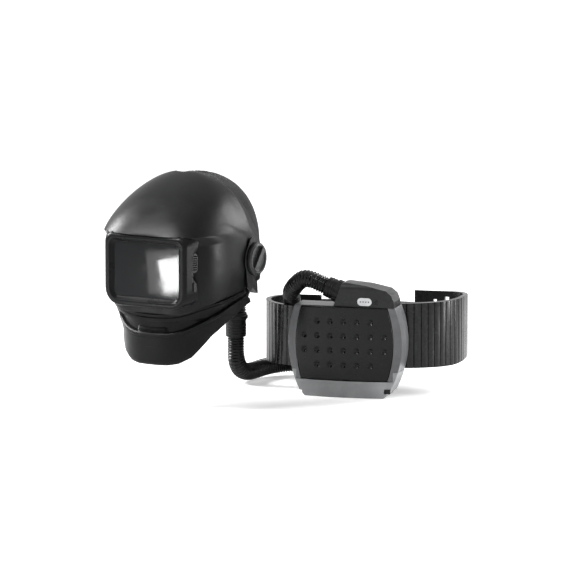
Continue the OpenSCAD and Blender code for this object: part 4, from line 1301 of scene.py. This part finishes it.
@dataclass
class CrownCover(SubAssembly):
    """The cloth over the crown and nape, drawn tight with small gathers.

    Args:
        top: height of the cloth's top.
        hem: height of its lower edge.
        half_width: at the pivots.
        reach: how far back it goes.
        sides: degrees from the back to its edge on each side.
    """

    title: str = "crown cover"
    top: float = 149.0
    hem: float = -30.0
    half_width: float = 117.0
    reach: float = 114.0
    sides: float = 112.0

    def build(self) -> None:
        """Makes the cloth from level slices and lays gathers into it.

        The gathers sink the cloth along its normal by a sum of three sine
        waves that run from hem to crown, stronger towards the edges, with
        slower hollows between seams at the sides. They fade out where the
        duct sits on the cloth. Towards the top the cloth runs on forward
        under the shield and closes in one point.
        """
        share = np.linspace(0, 1, 101)[:, None]
        z = self.hem + (self.top - 0.02 - self.hem) * np.sin(share * np.pi / 2)
        reach = self.sides + (180 - self.sides) * ease(z, 138, 148.9)
        angle = np.linspace(1, -1, 181)[None, :] * reach
        up = np.clip(z / self.top, 0, 1)
        half = np.where(z > 0, self.half_width * np.sqrt(1 - up ** 2.6),
                        self.half_width - 3 * (z / 30) ** 2)
        back = np.where(z > 0, self.reach * (1 - up ** 3) ** 0.42,
                        self.reach - 6 * (z / 30) ** 2)
        turn = np.radians(angle)
        points = np.stack(np.broadcast_arrays(half * signed_power(np.sin(turn), 0.9),
                                              back * signed_power(np.cos(turn), 0.9), z), -1)
        cross = np.cross(np.gradient(points, axis=1), np.gradient(points, axis=0))
        cross /= np.linalg.norm(cross, axis=2, keepdims=True) + 1e-9
        outward = cross * np.sign((cross * (points - [0, 20, 40])).sum(2, keepdims=True))
        folds = (np.sin(angle * 0.32 + 2.2 * np.sin(share * 3.1))
                 + 0.8 * np.sin(angle * 0.71 + 5 * share)
                 + 0.7 * np.sin(angle * 1.3 - 9 * share + 1.0)
                 + 0.6 * np.sin(share * 46 + 1.5 * np.sin(angle * 0.2)))
        hem = (1 - 0.75 * ease(share, 0.0, 0.35) + 0.5 * ease(share, 0.7, 0.9)) * (
            1 - ease(share, 0.92, 0.99))
        depth = -0.9 * (1.1 + folds / 2.1) * hem
        seam = np.exp(-((np.abs(angle) - 34) / 1.2) ** 2)
        depth = np.clip(depth - 1.2 * seam, -3.2, 0.0)
        duct = (1 - ease(np.abs(points[..., 0]), 30, 44)) * (points[..., 1] > 0)
        duct = duct * ease(z, 4, 16) * (1 - ease(z, 66, 78))
        points = points + outward * (depth * (1 - 0.9 * duct))[..., None]
        points[-1] = points[-1].mean(axis=0)
        middle = points[:-1, :-1]
        air = (np.abs(middle[..., 0]) < 16) & (middle[..., 2] > 31) & (middle[..., 2] < 49)
        cloth = grid_piece("crown_cloth", points, keep=~(air & (middle[..., 1] > 0)), sharp=60)
        self.turn_out(cloth)
        thicken(cloth, 1.6)
        self.place(cloth, "fixed", ("head_cover",), "cover_cloth")

    def turn_out(self, piece: Piece) -> None:
        """Turns the faces away from the head where they look at it.

        Args:
            piece: the cloth.
        """
        mesh = piece.data
        face = mesh.polygons[len(mesh.polygons) // 2]
        if face.normal.dot(face.center - Vector((0, 0.02, 0.04))) < 0:
            mesh.flip_normals()


@dataclass
class Harness(SubAssembly):
    """Headband, crown straps, ratchet, pads, face seal and inner visor."""

    title: str = "harness"

    def pad_ring(self, name: str, line: Array, thick: float, low: float, high: float,
                 puff: float) -> Piece:
        """A pad that follows a line, with a crowned section and sewn channels.

        The section is a superellipse of the given thickness and height; it
        is pinched by a cosine at even stitches along the line.

        Args:
            name: the piece's name.
            line: its middle line in plan.
            thick: full thickness.
            low: lowest z.
            high: highest z.
            puff: how much the stitches pinch it, as a share.

        Returns:
            The closed piece.
        """
        turn = np.linspace(0, 2 * np.pi, 28, endpoint=False)[None, :]
        walk = np.linspace(0, 1, len(line))[:, None]
        pinch = 1 - puff * np.abs(np.cos(walk * np.pi * 9)) ** 8
        end = np.sqrt(np.clip(1 - np.abs(2 * walk - 1) ** 14, 0, 1))
        offset = thick / 2 * signed_power(np.cos(turn), 0.7) * pinch * end
        height = (high - low) / 2 * signed_power(np.sin(turn), 0.6) * (0.4 + 0.6 * end)
        points = line[:, None] + sideways(line)[:, None] * offset[..., None]
        points[..., 2] += (low + high) / 2 + height
        return grid_piece(name, capped(points), round_cols=True, closed=True, sharp=80)

    def seal(self) -> None:
        """Makes the knitted seal: loops that shrink from visor to face.

        Each loop goes from the front outline to the face outline along a
        smooth step, drawn in by gathers that deepen towards the face.
        """
        share = np.linspace(0, 1, 44)
        mix = ease(share, -0.15, 1.1)
        loops = rounded_loop(179.4 - 47.4 * mix, -84 + 12 * mix, 10 - 10 * mix,
                             36 - 6 * mix, arc=24, side=26)
        middle = loops.mean(axis=1, keepdims=True)
        walk = np.arange(loops.shape[1])[None, :]
        gather = 1 - 0.035 * ease(share, 0.2, 1.0)[:, None] * (
            0.5 + 0.5 * np.cos(walk * 2 * np.pi / 8)) - 0.012
        loops = middle + (loops - middle) * gather[..., None]
        points = at_depth(loops, -74 + 47.5 * share[:, None])
        seal = grid_piece("face_seal_cloth", points, round_cols=True, sharp=80)
        thicken(seal, 1.4)
        self.place(seal, "fixed", ("face_seal",), "seal_cloth")

    def build(self) -> None:
        """Makes the pads and the seal and rounds the rigid parts."""
        inset = 4.1
        brow = plan_oval(78 - inset, 96 - inset, 2.3, 4, -60, 60, 121)
        pad = self.pad_ring("sweatband_pad", brow, 3.9, 12.2, 37.8, 0.16)
        self.place(pad, "fixed", ("sweatband",), "foam_grey")
        low, high = (np.array(corner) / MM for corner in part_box("nape_pad"))
        line = np.stack([np.linspace(low[0] + 0.4, high[0] - 0.4, 61),
                         np.full(61, (low[1] + high[1]) / 2), np.zeros(61)], -1)
        nape = self.pad_ring("nape_cushion", line, high[1] - low[1] - 0.2, low[2] + 0.3,
                             high[2] - 0.3, 0.2)
        self.place(nape, "fixed", ("nape_pad",), "foam_grey")
        self.seal()
        self.mould("fixed", {"headband": 0.5, "crown_straps": 0.5, "side_arms": 0.8,
                             "visor_carrier": 0.6, "ratchet_housing": 1.2})
        self.mould("ratchet", {"ratchet_knob": 0.9})


@dataclass
class NapeDuct(SubAssembly):
    """Duct at the nape, its bellows and the swivel that takes the hose.

    Args:
        tilt: of the duct's mouth from upright, in degrees.
        bend: radius of the bellows' bend.
        run: length of the straight before it.
        drop: length of the upright after it.
        back: y of that upright.
        foot: height at which the bend ends.
        crest: radius over the folds.
        depth: of the grooves.
        pitch: from fold to fold.
    """

    title: str = "nape duct"
    tilt: float = 35.0
    bend: float = 48.0
    run: float = 12.0
    drop: float = 5.0
    back: float = 150.0
    foot: float = -123.9
    crest: float = 19.5
    depth: float = 3.0
    pitch: float = 4.6

    def build(self) -> None:
        """Sweeps the bellows round its bend and rounds the rest.

        The axis is a straight run, a circular bend from the tilt down to
        upright and a short drop.
        """
        tilt = math.radians(self.tilt)
        turn = np.linspace(tilt, 0, 60)
        start = np.linspace(self.run, 0, 14)[:-1]
        arc = np.stack([0 * turn, self.back + self.bend * (1 - np.cos(turn)),
                        self.foot + self.bend * np.sin(turn)], -1)
        line = np.stack([0 * start, arc[0, 1] + start * math.sin(tilt),
                         arc[0, 2] + start * math.cos(tilt)], -1)
        drop = np.stack([0 * start, self.back + 0 * start,
                         self.foot - np.linspace(0.4, self.drop, 13)], -1)
        axis, _ = spaced(np.concatenate([line, arc, drop]), 100)
        _, points = ribbed(axis, self.crest, self.depth, self.pitch, 9, 1.2, 40)
        tube = grid_piece("duct_bellows_form", points, round_cols=True, closed=True, sharp=80)
        self.place(tube, "fixed", ("duct_bellows",), "duct_black")
        self.mould("fixed", {"air_duct": 1.6})
        self.mould("swivel", {"swivel_ring": 0.8})
        self.mould("hose_latch", {"latch_button": 0.7})


@dataclass
class Blower(SubAssembly):
    """The blower at the back of the waist, with its filter cover and battery.

    Args:
        origin: where its own frame stands.
        turn: its turn about Z in degrees.
        bulge: radius of the front's curve in plan.
        panel_low: lowest z of the filter cover.
        panel_half: half its width at its widest.
        bow: how fast its sides curve in, away from the middle.
        middle: height at which it is widest.
        face: y of the front in the middle.
        height: of the housings.
        dimple_across: distance of the dimple columns.
        dimple_up: distance of the dimple rows.
        dimple_d: width of a dimple.
        rim: radius of the cover's rounded border.
    """

    title: str = "blower"
    origin: tuple[float, float, float] = (230.0, 156.0, -262.0)
    turn: float = 15.0
    bulge: float = 400.0
    panel_low: float = 31.0
    panel_half: float = 90.6
    bow: float = 0.0024
    middle: float = 97.8
    face: float = -32.0
    height: float = 165.0
    dimple_across: float = 24.7
    dimple_up: float = 26.5
    dimple_d: float = 10.6
    rim: float = 2.2

    def stand(self, points: Array) -> Array:
        """Moves points from the blower's own frame into the shared one."""
        c, s = math.cos(math.radians(self.turn)), math.sin(math.radians(self.turn))
        return points @ np.array([[c, s, 0], [-s, c, 0], [0, 0, 1]]) + np.array(self.origin)

    def front(self, x: Array) -> Array:
        """Depth of the bulged front: a circle of the bulge radius about Z."""
        return self.face + self.bulge - np.sqrt(self.bulge ** 2 - x * x)

    def filter_cover(self) -> None:
        """Makes the dimpled cover from one grid over width and height.

        Depth is the bulge, rolled back by a quarter circle near the border,
        plus a round dent at each of 24 places.
        """
        rows = np.linspace(0, 1, 151)[:, None]
        z = self.panel_low + (self.height - 0.5 - self.panel_low) * rows
        half = self.panel_half - self.bow * (z - self.middle) ** 2
        share = np.linspace(-1, 1, 207)[None, :]
        x = half * share
        z = np.broadcast_to(z, x.shape)
        column = np.tile(np.arange(-3, 4), 4)
        row = np.repeat(np.arange(4), 7)
        used = (np.abs(column) < 3) | (row == 1) | (row == 2)
        cx = (column * self.dimple_across)[used][:, None, None]
        cz = (self.middle + 1 + (row - 1.5) * self.dimple_up)[used][:, None, None]
        away = np.sqrt((x - cx) ** 2 + (z - cz) ** 2).min(axis=0)
        dent = 2.9 * np.clip(1 - (away / (self.dimple_d / 2)) ** 2, 0, 1)
        border = np.minimum(np.minimum(half - np.abs(x), z - z.min()), z.max() - z)
        roll = self.rim * (1 - np.sqrt(1 - (1 - np.clip(border / self.rim, 0, 1)) ** 2))
        depth = self.front(x) + dent + roll
        points = self.stand(np.stack([x, depth, z], -1))
        cover = grid_piece("filter_cover_form", points)
        if cover.data.polygons[0].normal.y > 0:
            cover.data.flip_normals()
        thicken(cover, 2.5)
        self.place(cover, "filter_door", ("filter_cover",), "cover_black")

    def build(self) -> None:
        """Makes the cover, and rounds the housings, hump and controls."""
        self.filter_cover()
        self.mould("fixed", {"rear_housing": 2.5, "front_housing": 1.6,
                             "indicator_window": 0.4})
        # the hump's near-black finish is painted shade on the housing's grey moulding
        self.mould("fixed", {"outlet_hump": 3.0}, finish="hump_painted_shade")
        self.mould("collar", {"bayonet_collar": 0.8})
        self.mould("power_key", {"power_button": 0.5})
        self.mould("battery", {"battery_case": 2.4})
        self.mould("battery_catch", {"battery_latch": 0.4})


@dataclass
class WaistBelt(SubAssembly):
    """Grooved wings, their bracket, and the webbing with its buckle.

    Args:
        centre: y of the belt ring in the blower's frame.
        half_width: half the ring's width.
        half_length: half its length.
        power: of the superellipse.
        middle: height of the strap's middle in the blower's frame.
        strap_high: height of the strap.
    """

    title: str = "waist belt"
    centre: float = 140.0
    half_width: float = 189.0
    half_length: float = 108.0
    power: float = 2.4
    middle: float = 115.0
    strap_high: float = 39.8

    def strap(self, blower: Blower) -> None:
        """Carries the webbing's section round the back of the belt ring.

        The section is a flat loop with round edges, thinner at two seams,
        swept along the superellipse from 138 to 222 degrees from the front.

        Args:
            blower: whose frame the belt is laid out in.
        """
        inset = 1.25
        line = plan_oval(self.half_width - inset, self.half_length - inset, self.power,
                         self.centre, 138, 222, 90)
        half = self.strap_high / 2
        loop = rounded_loop(2.3, self.middle - half, self.middle + half, 1.1, arc=4, side=20)[0]
        seam = np.abs(loop[:, 1] - self.middle) - 16.5
        ridge = 1 - 0.25 * np.exp(-(seam / 0.8) ** 2)
        points = line[:, None] + sideways(line)[:, None] * (loop[:, 0] * ridge)[None, :, None]
        points[..., 2] = loop[None, :, 1]
        strap = grid_piece("belt_webbing_strap", blower.stand(capped(points)),
                           round_cols=True, closed=True, sharp=60)
        self.place(strap, "fixed", ("belt_webbing",), "webbing")

    def build(self) -> None:
        """Rounds the wings, bracket and buckle, and weaves the strap."""
        self.strap(Blower())
        self.mould("fixed", {"belt_wing_left": 0.9, "belt_wing_right": 0.9,
                             "belt_bracket": 1.2, "buckle_body": 1.2}, sharp=20.0)
        self.mould("buckle_key", {"buckle_release": 0.6})


# ---------------------------------------------------------------- studio


@dataclass(frozen=True)
class SoftBox:
    """One soft lamp, given by where it stands as seen from the object.

    Args:
        name: of the lamp.
        toward: direction from the object to the lamp.
        distance: in metres.
        width: in metres.
        height: in metres.
        glow: brightness of its face, 1 being white.
        roll: turn about its own direction, in degrees.
        aim: where it points; the object's middle when left out.
    """

    name: str
    toward: tuple[float, float, float]
    distance: float
    width: float
    height: float
    glow: float
    roll: float = 0.0
    aim: tuple[float, float, float] | None = None

    def hang(self, centre: Vector) -> None:
        """Hangs the lamp; its power is its brightness times pi times its area.

        Args:
            centre: where it points, unless it has an aim of its own.
        """
        data = bpy.data.lights.new(self.name, "AREA")
        data.shape = "RECTANGLE"
        data.size, data.size_y = self.width, self.height
        data.energy = self.glow * math.pi * self.width * self.height
        lamp = bpy.data.objects.new(self.name, data)
        away = Vector(self.toward).normalized()
        lamp.location = Vector(self.aim or centre) + away * self.distance
        facing = away.to_track_quat("Z", "Y")
        lamp.rotation_euler = (facing @ Quaternion((0, 0, 1), math.radians(self.roll))).to_euler()
        bpy.context.scene.collection.objects.link(lamp)


@dataclass
class Studio:
    """Camera, pale floor, soft lamps and a pale surround.

    Args:
        azimuth: of the camera, degrees towards the wearer's left.
        elevation: of the camera in degrees.
        distance: from camera to the picture's centre, metres.
        lens: focal length in millimetres on a 36 mm frame.
        aside: picture centre right of the origin, metres.
        below: picture centre below it, metres.
        ground: height of the floor, metres.
        ambient: strength of the surround as it lights the object.
        middle: what the lamps without an aim of their own point at.
        lamps: the soft boxes.
    """

    azimuth: float = 30.0
    elevation: float = 9.0
    distance: float = 14.25
    lens: float = 500.0
    aside: float = 0.1643
    below: float = 0.0572
    ground: float = -0.2622
    ambient: float = 0.15
    middle: tuple[float, float, float] = (0.12, 0.05, -0.06)
    lamps: tuple[SoftBox, ...] = (
        SoftBox("key_top_left", (-0.84, -0.16, 0.52), 1.9, 0.42, 0.7, 75.0),
        SoftBox("rim_right_back", (0.50, 0.74, 0.40), 1.9, 0.5, 1.1, 16.0),
        SoftBox("side_right_low", (0.96, 0.24, -0.02), 1.7, 0.5, 0.28, 34.0),
        SoftBox("fill_front", (0.1, -0.8, 0.75), 3.2, 1.2, 1.0, 3.0),
        SoftBox("panel_left", (-0.40, -0.55, 0.73), 1.9, 0.3, 0.3, 80.0, 0.0,
                (0.23, 0.12, -0.16)),
        SoftBox("lens_glint", (-0.494, -0.855, -0.156), 0.9, 0.050, 0.066, 90.0, 11.0,
                (0.0425, -0.165, -0.0135)),
        SoftBox("lens_sheen", (-0.494, -0.855, -0.156), 0.92, 0.066, 0.080, 8.0, 4.0,
                (0.022, -0.165, -0.0077)),
    )

    def camera(self) -> None:
        """Sets the camera at the photograph's angle and scale."""
        turn, rise = math.radians(self.azimuth), math.radians(self.elevation)
        back = Vector((math.sin(turn) * math.cos(rise), -math.cos(turn) * math.cos(rise),
                       math.sin(rise)))
        right = Vector((math.cos(turn), math.sin(turn), 0.0))
        target = right * self.aside - back.cross(right) * self.below
        data = bpy.data.cameras.new("photo_camera")
        data.lens, data.sensor_width = self.lens, 36.0
        data.clip_end = 200.0
        eye = bpy.data.objects.new("photo_camera", data)
        eye.location = target + back * self.distance
        eye.rotation_euler = back.to_track_quat("Z", "Y").to_euler()
        bpy.context.scene.collection.objects.link(eye)
        bpy.context.scene.camera = eye

    def seen(self, tree: Tree) -> Socket:
        """Gives 1 for rays from the camera, from gloss and through glass, else 0."""
        ray = tree.add("ShaderNodeLightPath")
        plain = tree.sum_up("MAXIMUM", ray.outputs["Is Camera Ray"],
                            ray.outputs["Is Transmission Ray"])
        return tree.sum_up("MAXIMUM", plain, ray.outputs["Is Glossy Ray"])

    def floor(self) -> None:
        """Lays a wide pale floor that keeps the object's soft shadow.

        The lamps fade with distance, so the floor's own light rises from
        the object outwards, by the length of its object coordinates.
        """
        across = np.linspace(-40000, 40000, 9)
        x, y = np.meshgrid(across, across, indexing="xy")
        ground = grid_piece("studio_floor", np.stack([x, y, 0 * x + self.ground / MM], -1))
        made = bpy.data.materials.new("pale_floor")
        tree = cleared(made)
        place = tree.add("ShaderNodeTexCoord").outputs["Object"]
        tone = tree.blend(tree.noise(place, 3.0, 2.0), (0.80, 0.80, 0.80, 1),
                          (0.83, 0.83, 0.83, 1))
        matt = tree.add("ShaderNodeBsdfDiffuse", {"Color": tone})
        away = tree.add("ShaderNodeVectorMath", {0: place}, operation="LENGTH").outputs["Value"]
        lift = tree.sum_up("MULTIPLY", self.seen(tree), tree.range(away, 0.5, 2.2, 0.40, 0.95))
        glow = tree.add("ShaderNodeEmission", {"Color": (1, 1, 1, 1), "Strength": lift})
        both = tree.add("ShaderNodeAddShader", {0: matt.outputs[0], 1: glow.outputs[0]})
        tree.add("ShaderNodeOutputMaterial", {0: both.outputs[0]})
        ground.data.materials.append(made)

    def surround(self) -> None:
        """Makes the world: dim for lighting, white to the camera."""
        world = bpy.data.worlds.new("pale_surround")
        tree = cleared(world)
        strength = tree.sum_up("ADD", tree.sum_up("MULTIPLY", self.seen(tree),
                                                  1 - self.ambient), self.ambient)
        glow = tree.add("ShaderNodeBackground", {"Color": (1, 1, 1, 1), "Strength": strength})
        tree.add("ShaderNodeOutputWorld", {0: glow.outputs[0]})
        bpy.context.scene.world = world

    def build(self) -> None:
        """Sets up the camera, floor, lamps and surround."""
        self.camera()
        self.floor()
        self.surround()
        for lamp in self.lamps:
            lamp.hang(Vector(self.middle))
        bpy.context.scene.view_settings.view_transform = "Standard"


def dress_nodes() -> None:
    """Gives every node that is left showing the finish of its slot."""
    for node, slot in node_slots().items():
        FINISHES[slot].put_on(FRAME["nodes"][node])


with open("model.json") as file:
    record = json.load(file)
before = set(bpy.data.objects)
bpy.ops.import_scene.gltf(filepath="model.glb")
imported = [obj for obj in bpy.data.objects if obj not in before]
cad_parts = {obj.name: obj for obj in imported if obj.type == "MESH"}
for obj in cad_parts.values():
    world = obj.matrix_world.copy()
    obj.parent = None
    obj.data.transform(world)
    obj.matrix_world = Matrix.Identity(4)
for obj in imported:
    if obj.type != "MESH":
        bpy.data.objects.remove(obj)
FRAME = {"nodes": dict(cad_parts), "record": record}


def main() -> None:
    """Builds the studio and every assembly in order."""
    logging.basicConfig(level=logging.INFO, format="%(message)s")
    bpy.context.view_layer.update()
    Studio().build()
    dress_nodes()
    for assembly in (BreathingHose(), FlipShield(), JawGuard(), CrownCover(), Harness(),
                     NapeDuct(), Blower(), WaistBelt()):
        assembly.build()
        assembly.report()


if __name__ == "__main__":
    main()
